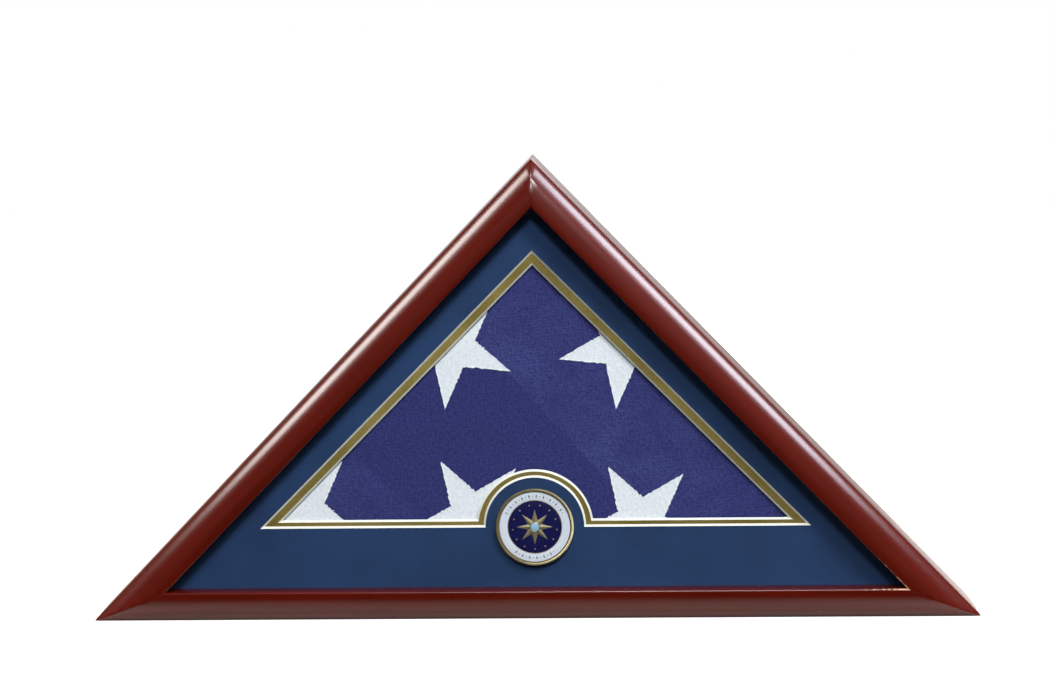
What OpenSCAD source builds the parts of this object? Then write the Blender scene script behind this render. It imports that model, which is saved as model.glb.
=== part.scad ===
// Triangular display case for a folded flag: a mitred wooden box with a crowned front
// moulding, glass, two window mats, a medallion and a back panel held by turn buttons.
// Millimetres. The origin is the middle of the base, +X to the viewer's right,
// +Y to the back and +Z up.

/* [Case] */
// Overall width along the base
case_w = 648; // [560:1:800]
// Overall height from the base to the peak
case_h = 335; // [290:1:420]
// Depth of the woodwork from the front lip to the back edge
case_d = 83; // [70:1:110]
// Thickness of the three boards that make the box
board_t = 20; // [16:0.5:24]

/* [Front moulding] */
// Width of the moulding's face, square to its edge
face_w = 23.5; // [20:0.5:30]
// How far the crowned face falls back at the outer edge
crown_drop = 14; // [8:0.5:16]
// Width of the flat strip beside the opening
lip_flat = 2.5; // [1.5:0.1:4]
// Radius of the lip's edge
lip_r = 1.2; // [0.5:0.1:1.5]
// Thickness of the lip in front of the glass
lip_t = 4.5; // [3:0.1:6]
// Width of the rebate behind the lip
rebate_w = 7; // [5:0.5:9]
// Width of the groove where the moulding meets a board
groove = 0.6; // [0.2:0.1:1]

/* [Glass and spacers] */
// Thickness of the glass
glass_t = 2.5; // [2:0.1:4]
// Depth of the spacer strips between the glass and the mats
spacer_d = 10.5; // [8:0.5:16]
// How far the spacers stand back from the lip
spacer_recess = 0.5; // [0.2:0.1:1.5]
// Gap round the glass, the spacers and the mats in the rebate
pack_gap = 0.7; // [0.3:0.1:1.5]
// Play behind the mats
pack_play = 0.2; // [0.1:0.1:0.5]

/* [Mats] */
// Thickness of each mat board
mat_t = 1.4; // [1:0.1:3]
// Width of the blue border under the window
bottom_border = 44.3; // [40:0.1:60]
// Height of the blue border above the window's peak
apex_border = 33; // [25:0.1:60]
// Degrees by which the window's legs lie flatter than the frame's
window_lean = 0.76; // [0:0.01:2]
// Width of the gold mat that shows inside the blue one
gold_reveal = 5.4; // [3:0.1:8]
// How far the gold mat's window sits below the blue one's middle
gold_drop = 1.2; // [0:0.1:2.5]
// Width of the blue collar round the medallion
arch_margin = 7.9; // [4:0.1:12]

/* [Medallion] */
// Radius of the medallion over its rim
medal_r = 28.7; // [24:0.1:34]
// Thickness of the medallion's plate
medal_t = 2.2; // [1.5:0.1:3]
// Radius of the rim's rope
rim_r = 1.25; // [0.8:0.05:1.6]
// Outer radius of the white ring
ring_outer_r = 25.7; // [22:0.1:28]
// Radius of the dark field
field_r = 19.3; // [14:0.1:20]
// Width of the metal border between the ring and the field
border_w = 0.6; // [0.4:0.1:1.5]
// Depth of the enamel
enamel_t = 0.5; // [0.3:0.1:0.8]
// Reach of the rosette's long points
rosette_r = 13; // [8:0.5:16]
// Reach of the notches between the points
rosette_notch_r = 5.4; // [3:0.1:7]
// Radius of the rosette's middle
rosette_boss_r = 3.2; // [2:0.1:5]
// Height of the rosette above the enamel
rosette_t = 0.7; // [0.4:0.1:1.2]
// Thickness of the adhesive pad
pad_t = 1; // [0.5:0.1:1.5]
// How far the pad's edge is inside the medallion's
pad_inset = 6; // [3:0.5:10]

/* [Flag] */
// Gap between the flag's folded legs and the boards
flag_gap = 5.3; // [2:0.1:12]
// Gap between the flag and the mats, and the flag and the panel
flag_clear = 0.8; // [0.3:0.1:2]
// Radius of the flag's folded corners
flag_corner_r = 5; // [2:0.5:8]
// Tip-to-tip diameter of a star
star_d = 94; // [70:1:110]
// Half the distance between two stars of one row
star_step = 96; // [80:0.5:120]
// Distance between two rows of stars
star_row = 82.3; // [70:0.1:100]
// Direction of the flag's top, in degrees above the base
star_turn = 47.9; // [40:0.1:50]
// Sideways place of one star
star_x = -47.6; // [-60:0.1:60]
// Height of that star above the window's bottom edge
star_z = 7.4; // [-40:0.1:120]
// Thickness of the stars' stitching
star_t = 0.5; // [0.3:0.1:0.7]

/* [Back panel] */
// Thickness of the back panel
panel_t = 3; // [2.5:0.1:6]
// Width of the ledge that the panel lies on
rabbet_w = 9; // [6:0.5:9]
// How far the panel lies below the back edge
panel_recess = 0.7; // [0.5:0.1:2]
// Gap round the panel
panel_gap = 0.8; // [0.5:0.1:2]
// Gap between the panel and its ledge
panel_seat = 0.2; // [0.1:0.1:0.5]
// Chamfer on the box's outer back edge
back_chamfer = 1; // [0.5:0.1:2]

/* [Turn buttons] */
// Length of a turn button from its screw to its far end
button_reach = 19; // [15:0.5:24]
// Width of a turn button
button_w = 8; // [6:0.5:9]
// Thickness of a turn button
button_t = 1.4; // [1:0.1:2]
// Gap between a turn button and the wood
button_lift = 0.3; // [0.3:0.1:0.6]
// Distance of a turn button from a lower corner
button_from_corner = 130; // [110:1:160]
// Distance of a turn button from the peak
button_from_peak = 150; // [130:1:170]

/* [Screws] */
// Radius of the screws' shanks
screw_r = 1.4; // [1:0.1:1.8]
// Length of the screws in the wood
screw_l = 12; // [8:0.5:16]
// Radius of the screws' heads
head_r = 2.8; // [2.4:0.1:3.2]
// Height of the screws' heads
head_h = 1.5; // [1:0.1:2]
// Width of the screws' cross slots
slot_w = 0.7; // [0.4:0.1:0.9]

/* [Hangers] */
// Distance of a hanger's eye from the peak
hanger_from_peak = 78; // [60:1:100]
// Length of a hanger's strap from its eye
strap_l = 18; // [16:0.5:22]
// Width of a hanger's strap
strap_w = 6; // [5:0.5:6]
// Thickness of a hanger's strap
strap_t = 1.2; // [0.8:0.1:1.5]
// Radius of the ring's wire
ring_r = 1.1; // [0.9:0.05:1.3]
// Gap between the ring's wire and the strap
ring_gap = 0.3; // [0.3:0.05:0.5]
// Length of the ring's straight legs
ring_leg = 3; // [2:0.5:4]

/* [Corner nails] */
// Length of one wing of a V-shaped corner nail
nail_wing = 5; // [3:0.5:6]
// Thickness of a corner nail
nail_t = 0.6; // [0.4:0.1:1]
// Depth of a corner nail in the moulding
nail_l = 7; // [5:0.5:10]

/* [Fits] */
// Radial gap of a turning part on its screw
turn_gap = 0.08; // [0.05:0.01:0.1]
// Radial gap of a screw in its pilot hole
pilot_gap = 0.05; // [0.02:0.01:0.1]

/* [Hidden] */
$fn = 64;

// The three sides, in order round the triangle, each starting at the corner of its number.
BASE = 0;
RIGHT = 1;
LEFT = 2;

// Extra length on tools that cut and on pieces that are trimmed.
margin = 1;

// The triangle
half_w = case_w / 2;
base_angle = atan(case_h / half_w);
leg = norm([half_w, case_h]);
in_radius = half_w * tan(base_angle / 2);
corners = [[-half_w, 0], [half_w, 0], [0, case_h]];
side_length = [case_w, leg, leg];
side_turn = [0, 180 - base_angle, 180 + base_angle];

// Depths, counted back from the front lip
front = -case_d / 2;
glass_y = lip_t;
spacer_y = glass_y + glass_t;
blue_y = spacer_y + spacer_d;
gold_y = blue_y + mat_t;
rail_d = gold_y + mat_t + pack_play;
panel_y = case_d - panel_t - panel_recess;
flag_y = rail_d + flag_clear;
flag_d = panel_y - flag_clear - flag_y;

// The moulding
crown_w = face_w - lip_flat;
crown_r = (crown_w * crown_w + crown_drop * crown_drop) / (2 * crown_drop);
rebate_u = face_w - rebate_w;
pack_u = rebate_u + pack_gap;

// The mats' windows
window_angle = base_angle - window_lean;
window_z = face_w + bottom_border;
window_top = peak_z(face_w) - apex_border;
arch_r = medal_r + arch_margin;

// The box and its back
land_w = board_t - rabbet_w;
panel_u = land_w + panel_gap;
screw_u = land_w / 2;

// The flag
flag_u = board_t + flag_gap;
flag_z = board_t + flag_clear;
star_inner_r = star_d / 2 * sin(18) / sin(54);
star_reach = 6;

// The hangers
eye_in_r = ring_r + ring_gap;
eye_r = eye_in_r + strap_t;
ring_half = strap_w / 2 + ring_gap + ring_r;
strap_screw_x = strap_l - strap_w / 2;

// The corner nails, by their distance in from the outer edge
nail_u = [rebate_u * 0.3, rebate_u * 0.7];

// Height of the peak of the triangle that lies a distance in from the outer edges
function peak_z(inset) = case_h - inset / cos(base_angle);

// Half width, at a height, of the triangle that lies a distance in from the legs
function half_at(inset, z) = (peak_z(inset) - z) / tan(base_angle);

// Triangle with its legs an inset in from the outer edges and its bottom at a height
function triangle(inset, z) = [[-half_at(inset, z), z], [half_at(inset, z), z], [0, peak_z(inset)]];

// A mat's window, drawn in by a reveal and lowered by a drop
function window_half(reveal) =
    (window_top - reveal / cos(window_angle) - window_z - reveal) / tan(window_angle);
function window(reveal, drop) = [
    [-window_half(reveal), window_z + reveal - drop],
    [window_half(reveal), window_z + reveal - drop],
    [0, window_top - reveal / cos(window_angle) - drop]
];

// Place of the star in a column and a row of the flag's field
function star_at(column, row) = [
    star_x + column * star_step * sin(star_turn) + row * star_row * cos(star_turn),
    window_z + star_z - column * star_step * cos(star_turn) + row * star_row * sin(star_turn)
];

// Corners of a star that has a tip pointing along the given turn
function star_outline(points, outer, inner, turn) = [
    for (i = [0 : 2 * points - 1])
        let (r = i % 2 == 0 ? outer : inner, a = turn + i * 180 / points)
            [r * cos(a), r * sin(a)]
];

// Stands a flat outline up, its front a depth behind the lip
module upright(depth, thickness) {
    translate([0, front + depth + thickness, 0])
        rotate([90, 0, 0])
            linear_extrude(height = thickness)
                children();
}

// Moves a piece made along the base to one of the three sides
module on_side(side) {
    translate([corners[side][0], 0, corners[side][1]])
        rotate([0, -side_turn[side], 0])
            children();
}

// The share of the triangle that belongs to one side, cut by the mitres
module mitre_share(side) {
    middle = [0, in_radius];
    a = corners[side];
    b = corners[(side + 1) % 3];
    over = 1.2;
    upright(-margin, case_d + 2 * margin)
        polygon([middle, middle + over * (a - middle), middle + over * (b - middle)]);
}

// A strip along one side with mitred ends: its section is drawn as [depth, inset]
module mitred_strip(side) {
    intersection() {
        on_side(side)
            translate([-margin, front, 0])
                rotate([90, 0, 90])
                    linear_extrude(height = side_length[side] + 2 * margin)
                        children();
        mitre_share(side);
    }
}

// Section of the front moulding: crowned face, rounded lip, rebate and joint groove
module rail_section() {
    difference() {
        union() {
            intersection() {
                translate([crown_r, crown_w])
                    circle(r = crown_r, $fn = 128);
                square([crown_drop, crown_w]);
            }
            translate([crown_drop, 0])
                square([rail_d - crown_drop, crown_w]);
            translate([0, crown_w])
                square([rail_d, lip_flat - lip_r]);
            translate([lip_r, crown_w])
                square([rail_d - lip_r, lip_flat]);
            translate([lip_r, face_w - lip_r])
                circle(r = lip_r);
        }
        translate([lip_t, rebate_u])
            square([rail_d, rebate_w + margin]);
        joint_groove();
    }
}

// Section of the groove that the moulding and a board share
module joint_groove() {
    polygon([
        [rail_d - groove, 0], [rail_d, groove], [rail_d + groove, 0],
        [rail_d + groove, -margin], [rail_d - groove, -margin]
    ]);
}

// Section of a box board with the ledge for the back panel
module board_section() {
    difference() {
        translate([rail_d, 0])
            square([case_d - rail_d, board_t]);
        translate([panel_y - panel_seat, land_w])
            square([case_d, board_t]);
        joint_groove();
        polygon([
            [case_d - back_chamfer, -margin], [case_d - back_chamfer, 0], [case_d, back_chamfer],
            [case_d + margin, back_chamfer], [case_d + margin, -margin]
        ]);
    }
}

// Moves a piece made on a flat to the back edge of a side: +Z away from the wood, +X along it
module on_back(side, along) {
    on_side(side)
        translate([along, front + case_d, screw_u])
            rotate([-90, 0, 0])
                children();
}

// The places of the turn buttons along a side
function button_places(side) =
    side == BASE ? [button_from_corner, case_w - button_from_corner] :
    side == RIGHT ? [button_from_corner, leg - button_from_peak] :
    [button_from_peak, leg - button_from_corner];

// Puts a hanger's piece on a leg, its +X running down the leg from the eye
module on_leg(side) {
    on_back(side, side == LEFT ? hanger_from_peak : leg - hanger_from_peak)
        rotate([0, 0, side == LEFT ? 0 : 180])
            children();
}

module rail(side) {
    color("#5e1a10")
        difference() {
            mitred_strip(side)
                rail_section();
            corner_nails();
        }
}

module left_rail() {
    rail(LEFT);
}

module right_rail() {
    rail(RIGHT);
}

module bottom_rail() {
    rail(BASE);
}

module board(side) {
    color("#4c150d")
        difference() {
            mitred_strip(side)
                board_section();
            for (along = button_places(side))
                on_back(side, along)
                    pilot_hole();
            if (side != BASE)
                on_leg(side)
                    translate([strap_screw_x, 0, 0])
                        pilot_hole();
        }
}

module left_board() {
    board(LEFT);
}

module right_board() {
    board(RIGHT);
}

module bottom_board() {
    board(BASE);
}

module glass_pane() {
    color("#dfeeee", 0.3)
        upright(glass_y, glass_t)
            polygon(triangle(pack_u, pack_u));
}

module spacer(side) {
    color("#571f1c")
        mitred_strip(side)
            translate([spacer_y, pack_u])
                square([spacer_d, rebate_w - pack_gap - spacer_recess]);
}

module left_spacer() {
    spacer(LEFT);
}

module right_spacer() {
    spacer(RIGHT);
}

module bottom_spacer() {
    spacer(BASE);
}

// A mat board with its window, which leaves a half-round collar at the bottom
module mat(depth, reveal, drop) {
    upright(depth, mat_t)
        difference() {
            polygon(triangle(pack_u, pack_u));
            difference() {
                polygon(window(reveal, drop));
                translate([0, window_z - drop])
                    circle(r = arch_r + reveal, $fn = 96);
            }
        }
}

module blue_mat() {
    color("#1d3558")
        mat(blue_y, 0, 0);
}

module gold_mat() {
    color("#94803f")
        mat(gold_y, gold_reveal, gold_drop);
}

// Puts a piece on the blue mat at the medallion's middle, +Z to the viewer
module on_mat(height) {
    translate([0, front + blue_y - height, window_z])
        rotate([90, 0, 0])
            children();
}

module medallion_pad() {
    color("#e6e6e0")
        on_mat(0)
            cylinder(r = medal_r - pad_inset, h = pad_t);
}

// The metal plate with its rim and the shallow wells that hold the enamel
module medallion_plate() {
    color("#b8923f")
        on_mat(pad_t)
            difference() {
                union() {
                    cylinder(r = medal_r - rim_r, h = medal_t, $fn = 96);
                    translate([0, 0, medal_t - rim_r / 2])
                        rotate_extrude($fn = 96)
                            translate([medal_r - rim_r, 0])
                                circle(r = rim_r, $fn = 32);
                }
                translate([0, 0, medal_t - enamel_t])
                    medallion_wells(medal_t);
            }
}

// The two wells of the plate, the ring-shaped one and the round one
module medallion_wells(height) {
    well_ring(height);
    cylinder(r = field_r, h = height, $fn = 96);
}

module well_ring(height) {
    difference() {
        cylinder(r = ring_outer_r, h = height, $fn = 96);
        translate([0, 0, -margin])
            cylinder(r = field_r + border_w, h = height + 2 * margin, $fn = 96);
    }
}

module medallion_ring() {
    color("#f1efe9")
        on_mat(pad_t + medal_t - enamel_t)
            well_ring(enamel_t);
}

module medallion_field() {
    color("#1a2450")
        on_mat(pad_t + medal_t - enamel_t)
            cylinder(r = field_r, h = enamel_t, $fn = 96);
}

// Eight-pointed rosette that stands on the enamel
module medallion_rosette() {
    color("#cda548")
        on_mat(pad_t + medal_t) {
            linear_extrude(height = rosette_t)
                polygon(star_outline(8, rosette_r, rosette_notch_r, 90));
            cylinder(r = rosette_boss_r, h = rosette_t * 1.5);
        }
}

// Outline of the folded flag: a triangle with round corners
module flag_outline() {
    middles = triangle(flag_u + flag_corner_r, flag_z + flag_corner_r);
    down = [0, -flag_corner_r];
    out = flag_corner_r * [sin(base_angle), cos(base_angle)];
    back = [-out[0], out[1]];
    polygon([
        middles[0] + down, middles[1] + down, middles[1] + out,
        middles[2] + out, middles[2] + back, middles[0] + back
    ]);
    for (c = middles)
        translate(c)
            circle(r = flag_corner_r);
}

module folded_flag() {
    color("#2c2c62")
        upright(flag_y + star_t, flag_d - star_t)
            flag_outline();
}

// The stars on the flag's front, those at its folds cut off by them
module flag_stars() {
    color("#eceae8")
        upright(flag_y, star_t)
            intersection() {
                polygon(triangle(flag_u + flag_corner_r, flag_z + flag_corner_r));
                for (column = [-star_reach : star_reach], row = [-star_reach : star_reach])
                    if ((column + row) % 2 == 0)
                        translate(star_at(column, row))
                            polygon(star_outline(5, star_d / 2, star_inner_r, star_turn));
            }
}

module back_panel() {
    color("#2b221d")
        upright(panel_y, panel_t)
            polygon(triangle(panel_u, panel_u));
}

// A flat turn button, parallel to its edge and clear of the panel
module turn_button(side, place) {
    color("#b9a05c")
        on_back(side, button_places(side)[place])
            translate([0, 0, button_lift])
                linear_extrude(height = button_t)
                    difference() {
                        union() {
                            circle(d = button_w);
                            translate([button_reach - button_w / 2, 0])
                                circle(d = button_w);
                            translate([0, -button_w / 2])
                                square([button_reach - button_w / 2, button_w]);
                        }
                        circle(r = screw_r + turn_gap);
                    }
}

// A round-headed screw with its head resting at a height above the wood
module screw(under_head) {
    dome_r = (head_r * head_r + head_h * head_h) / (2 * head_h);
    translate([0, 0, -screw_l])
        cylinder(r = screw_r, h = screw_l + under_head);
    translate([0, 0, under_head])
        difference() {
            intersection() {
                cylinder(r = head_r, h = head_h);
                translate([0, 0, head_h - dome_r])
                    sphere(r = dome_r);
            }
            for (turn = [0, 90])
                rotate([0, 0, turn])
                    translate([-head_r * 0.6, -slot_w / 2, head_h / 2])
                        cube([head_r * 1.2, slot_w, head_h]);
        }
}

module pilot_hole() {
    translate([0, 0, -screw_l - margin])
        cylinder(r = screw_r + pilot_gap, h = screw_l + 2 * margin);
}

module turn_button_screws() {
    color("#a98f4d")
        for (side = [BASE, RIGHT, LEFT])
            for (along = button_places(side))
                on_back(side, along)
                    screw(2 * button_lift + button_t);
}

// A strap with a rolled eye for the ring and a hole for its screw
module hanger_strap(side) {
    color("#9a9b9c")
        on_leg(side)
            difference() {
                union() {
                    translate([0, -strap_w / 2, 0])
                        cube([strap_screw_x, strap_w, strap_t]);
                    translate([strap_screw_x, 0, 0])
                        cylinder(d = strap_w, h = strap_t);
                    translate([0, strap_w / 2, eye_r])
                        rotate([90, 0, 0])
                            cylinder(r = eye_r, h = strap_w);
                }
                translate([0, strap_w / 2 + margin, eye_r])
                    rotate([90, 0, 0])
                        cylinder(r = eye_in_r, h = strap_w + 2 * margin);
                translate([strap_screw_x, 0, -margin])
                    cylinder(r = screw_r + turn_gap, h = strap_t + 2 * margin);
            }
}

module left_hanger_strap() {
    hanger_strap(LEFT);
}

module right_hanger_strap() {
    hanger_strap(RIGHT);
}

// A D-shaped wire ring, folded down over its strap
module hanger_ring(side) {
    color("#a9aaab")
        on_leg(side)
            translate([0, 0, eye_r]) {
                translate([0, ring_half, 0])
                    rotate([90, 0, 0])
                        cylinder(r = ring_r, h = 2 * ring_half);
                for (edge = [-ring_half, ring_half])
                    translate([0, edge, 0]) {
                        sphere(r = ring_r);
                        rotate([0, 90, 0])
                            cylinder(r = ring_r, h = ring_leg);
                    }
                translate([ring_leg, 0, 0])
                    rotate([0, 0, -90])
                        rotate_extrude(angle = 180)
                            translate([ring_half, 0])
                                circle(r = ring_r, $fn = 32);
            }
}

module left_hanger_ring() {
    hanger_ring(LEFT);
}

module right_hanger_ring() {
    hanger_ring(RIGHT);
}

module hanger_screws() {
    color("#9a9b9c")
        for (side = [RIGHT, LEFT])
            on_leg(side)
                translate([strap_screw_x, 0, 0])
                    screw(strap_t);
}

// V-shaped nails that hold each mitre of the moulding, driven in from behind
module corner_nails() {
    middle = [0, in_radius];
    color("#8b8d90")
        for (corner = corners, u = nail_u)
            let (way = middle - corner, place = corner + way * u / in_radius)
                upright(rail_d - nail_l, nail_l)
                    translate(place)
                        rotate(atan2(way[1], way[0]))
                            for (wing = [-45, 45])
                                rotate(wing)
                                    translate([-nail_t / 2, -nail_t / 2])
                                        square([nail_wing, nail_t]);
}

left_rail();
right_rail();
bottom_rail();
left_board();
right_board();
bottom_board();
glass_pane();
left_spacer();
right_spacer();
bottom_spacer();
blue_mat();
gold_mat();
medallion_pad();
medallion_plate();
medallion_ring();
medallion_field();
medallion_rosette();
folded_flag();
flag_stars();
back_panel();
turn_button(BASE, 0);  // turn_button_base_left
turn_button(BASE, 1);  // turn_button_base_right
turn_button(RIGHT, 0);  // turn_button_right_low
turn_button(RIGHT, 1);  // turn_button_right_high
turn_button(LEFT, 0);  // turn_button_left_high
turn_button(LEFT, 1);  // turn_button_left_low
turn_button_screws();
left_hanger_strap();
right_hanger_strap();
left_hanger_ring();
right_hanger_ring();
hanger_screws();
corner_nails();
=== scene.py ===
"""The looks of a folded flag display case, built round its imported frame.

Metres, with +X to the viewer's right, +Y to the back and +Z up, as in the frame.
"""

import logging
import math
import random
from dataclasses import dataclass, field
from enum import Enum
from typing import Any, ClassVar, Sequence

import bmesh
import bpy
from mathutils import Matrix, Vector, noise


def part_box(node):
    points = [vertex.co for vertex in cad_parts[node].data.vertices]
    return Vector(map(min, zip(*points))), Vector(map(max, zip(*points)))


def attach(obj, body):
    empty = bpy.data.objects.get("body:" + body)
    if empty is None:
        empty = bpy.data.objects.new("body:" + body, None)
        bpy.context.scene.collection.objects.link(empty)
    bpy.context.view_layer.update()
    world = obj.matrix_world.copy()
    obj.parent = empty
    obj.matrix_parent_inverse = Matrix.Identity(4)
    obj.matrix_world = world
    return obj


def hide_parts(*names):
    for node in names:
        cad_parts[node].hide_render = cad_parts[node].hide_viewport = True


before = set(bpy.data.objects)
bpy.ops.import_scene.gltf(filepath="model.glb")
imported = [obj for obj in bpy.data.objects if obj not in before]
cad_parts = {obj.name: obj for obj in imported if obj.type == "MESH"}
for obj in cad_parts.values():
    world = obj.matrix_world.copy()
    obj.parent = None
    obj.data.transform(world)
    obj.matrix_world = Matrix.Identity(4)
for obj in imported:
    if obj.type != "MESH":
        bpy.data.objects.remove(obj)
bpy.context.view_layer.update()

log = logging.getLogger("display_case")

MM = 0.001
GRAIN_MAP = "grain"
# Marks real wear on the mouldings' lips, and painted sheen on the cloth and the stars.
WEAR_AND_SHEEN = "wear_and_sheen"

# The input sockets of a colour Mix node, whose names repeat.
MIX_FACTOR, MIX_A, MIX_B = 0, 6, 7


# ---------------------------------------------------------------- shared helpers


def linear(hex_colour: str) -> tuple[float, float, float, float]:
    """Turns an sRGB hex colour to linear RGBA.

    Args:
        hex_colour: six hex digits.

    Returns:
        The colour in linear light, with an alpha of 1.
    """
    parts = [int(hex_colour[i:i + 2], 16) / 255 for i in (0, 2, 4)]
    red, green, blue = (c / 12.92 if c <= 0.04045 else ((c + 0.055) / 1.055) ** 2.4 for c in parts)
    return red, green, blue, 1.0


def add_node(
    tree: bpy.types.NodeTree, kind: str, inputs: dict[Any, Any] | None = None, **settings: Any
) -> bpy.types.Node:
    """Adds a node with its settings, its values and its links.

    Args:
        tree: the node tree that gets the node.
        kind: the node's type name.
        inputs: for each input named or numbered, its value, the socket that feeds it, or the
            node whose first output in use does.
        settings: the node's own properties.

    Returns:
        The new node.
    """
    made = tree.nodes.new(kind)
    for key, value in settings.items():
        setattr(made, key, value)
    for key, value in (inputs or {}).items():
        if isinstance(value, bpy.types.Node):
            value = next(socket for socket in value.outputs if socket.enabled)
        if isinstance(value, bpy.types.NodeSocket):
            tree.links.new(value, made.inputs[key])
        else:
            made.inputs[key].default_value = value
    return made


# ---------------------------------------------------------------- the triangle


class Side(Enum):
    """The three sides of the case, in turn from the lower left corner."""

    BOTTOM = 0
    RIGHT = 1
    LEFT = 2

    @property
    def label(self) -> str:
        """The side's name as its pieces have it."""
        return self.name.lower()


BUILD_ORDER = (Side.LEFT, Side.RIGHT, Side.BOTTOM)

@dataclass(frozen=True)
class Triangle:
    """The triangle that every piece is set out from."""

    half_width: float
    height: float
    front: float

    @classmethod
    def from_frame(cls) -> "Triangle":
        """Reads the triangle off the frame's woodwork."""
        return cls(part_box("bottom_board")[1].x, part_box("left_board")[1].z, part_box("bottom_rail")[0].y)

    @property
    def base_angle(self) -> float:
        """Angle at each lower corner."""
        return math.atan2(self.height, self.half_width)

    @property
    def leg(self) -> float:
        """Length of a sloping side."""
        return math.hypot(self.height, self.half_width)

    def peak(self, inset: float) -> float:
        """Height of the peak of the triangle that lies an inset in from the legs."""
        return self.height - inset / math.cos(self.base_angle)

    def half_at(self, inset: float, height: float) -> float:
        """Half width at a height of the triangle that lies an inset in from the legs."""
        return (self.peak(inset) - height) / math.tan(self.base_angle)

    def length(self, side: Side) -> float:
        """Length of a side along its outer edge."""
        return 2 * self.half_width if side is Side.BOTTOM else self.leg

    def corner_angles(self, side: Side) -> tuple[float, float]:
        """Angles of the triangle at a side's start and end.

        Args:
            side: the side.

        Returns:
            The two angles.
        """
        peak_angle = math.pi - 2 * self.base_angle
        return {
            Side.BOTTOM: (self.base_angle, self.base_angle),
            Side.RIGHT: (self.base_angle, peak_angle),
            Side.LEFT: (peak_angle, self.base_angle),
        }[side]

    def edge_plane(self, side: Side, inset: float) -> tuple[Vector, Vector]:
        """The plane that lies an inset in from a side.

        Args:
            side: the side.
            inset: how far in the plane lies.

        Returns:
            A point of the plane and its outward direction.
        """
        place = self.onto(side)
        return place @ Vector((0, 0, inset)), -(place.to_3x3() @ Vector((0, 0, 1)))

    def onto(self, side: Side) -> Matrix:
        """Places what is drawn as (along, depth behind the lip, inset) on a side.

        Args:
            side: the side that gets it.

        Returns:
            The matrix from those three measures to the frame.
        """
        corners = {
            Side.BOTTOM: (-self.half_width, 0.0),
            Side.RIGHT: (self.half_width, 0.0),
            Side.LEFT: (0.0, self.height),
        }
        turns = {
            Side.BOTTOM: 0.0,
            Side.RIGHT: math.pi - self.base_angle,
            Side.LEFT: math.pi + self.base_angle,
        }
        x, z = corners[side]
        return Matrix.Translation((x, self.front, z)) @ Matrix.Rotation(-turns[side], 4, "Y")


# ---------------------------------------------------------------- finishes


@dataclass(frozen=True)
class Finish:
    """What every finish shares: a name, and one surface to dress."""

    name: str = "plain"
    # Whether its pattern follows the piece's own map, rather than the piece's own axes.
    follows_map: ClassVar[bool] = False

    def material(self) -> bpy.types.Material:
        """Makes the finish's material, or finds it if it is made already.

        Returns:
            The material.
        """
        name = f"{self.name}_finish"
        made = bpy.data.materials.get(name)
        if made is None:
            made = bpy.data.materials.new(name)
            made.use_nodes = True
            tree = made.node_tree
            tree.nodes.clear()
            if self.follows_map:
                spot = add_node(tree, "ShaderNodeUVMap", uv_map=GRAIN_MAP)
            else:
                spot = add_node(tree, "ShaderNodeTexCoord").outputs["Object"]
            mm = add_node(tree, "ShaderNodeVectorMath", {0: spot, "Scale": 1 / MM}, operation="SCALE")
            add_node(tree, "ShaderNodeOutputMaterial", {"Surface": self.surface(tree, mm)})
        return made

    def surface(self, tree: bpy.types.NodeTree, mm: bpy.types.Node) -> bpy.types.Node:
        """Makes the finish's shader.

        Args:
            tree: the material's nodes.
            mm: the spot on the piece, in millimetres.

        Returns:
            The shader.
        """
        return add_node(tree, "ShaderNodeBsdfPrincipled", self.look(tree, mm))

    def look(self, tree: bpy.types.NodeTree, mm: bpy.types.Node) -> dict[str, Any]:
        """Makes the patterns of the finish; each finish has its own.

        Args:
            tree: the material's nodes.
            mm: the spot on the piece, in millimetres.

        Returns:
            A value or a node for each input of the shader that it sets.
        """
        return {}

    def weave(self, tree: bpy.types.NodeTree, mm: bpy.types.Node, pitch_mm: float, axes: str) -> bpy.types.Node:
        """Crosses two waves, as threads or the wires of a screen cross.

        Args:
            tree: the material's nodes.
            mm: the spot on the piece, in millimetres.
            pitch_mm: the distance from one thread to the next but one.
            axes: the two axes that they lie along.

        Returns:
            The node whose value runs from -1 to 1.
        """
        split = add_node(tree, "ShaderNodeSeparateXYZ", {0: mm})
        waves = []
        for axis in axes:
            angle = {0: split.outputs[axis], 1: 2 * math.pi / pitch_mm}
            turned = add_node(tree, "ShaderNodeMath", angle, operation="MULTIPLY")
            waves.append(add_node(tree, "ShaderNodeMath", {0: turned}, operation="SINE"))
        return add_node(tree, "ShaderNodeMath", {0: waves[0], 1: waves[1]}, operation="MULTIPLY")


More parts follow.
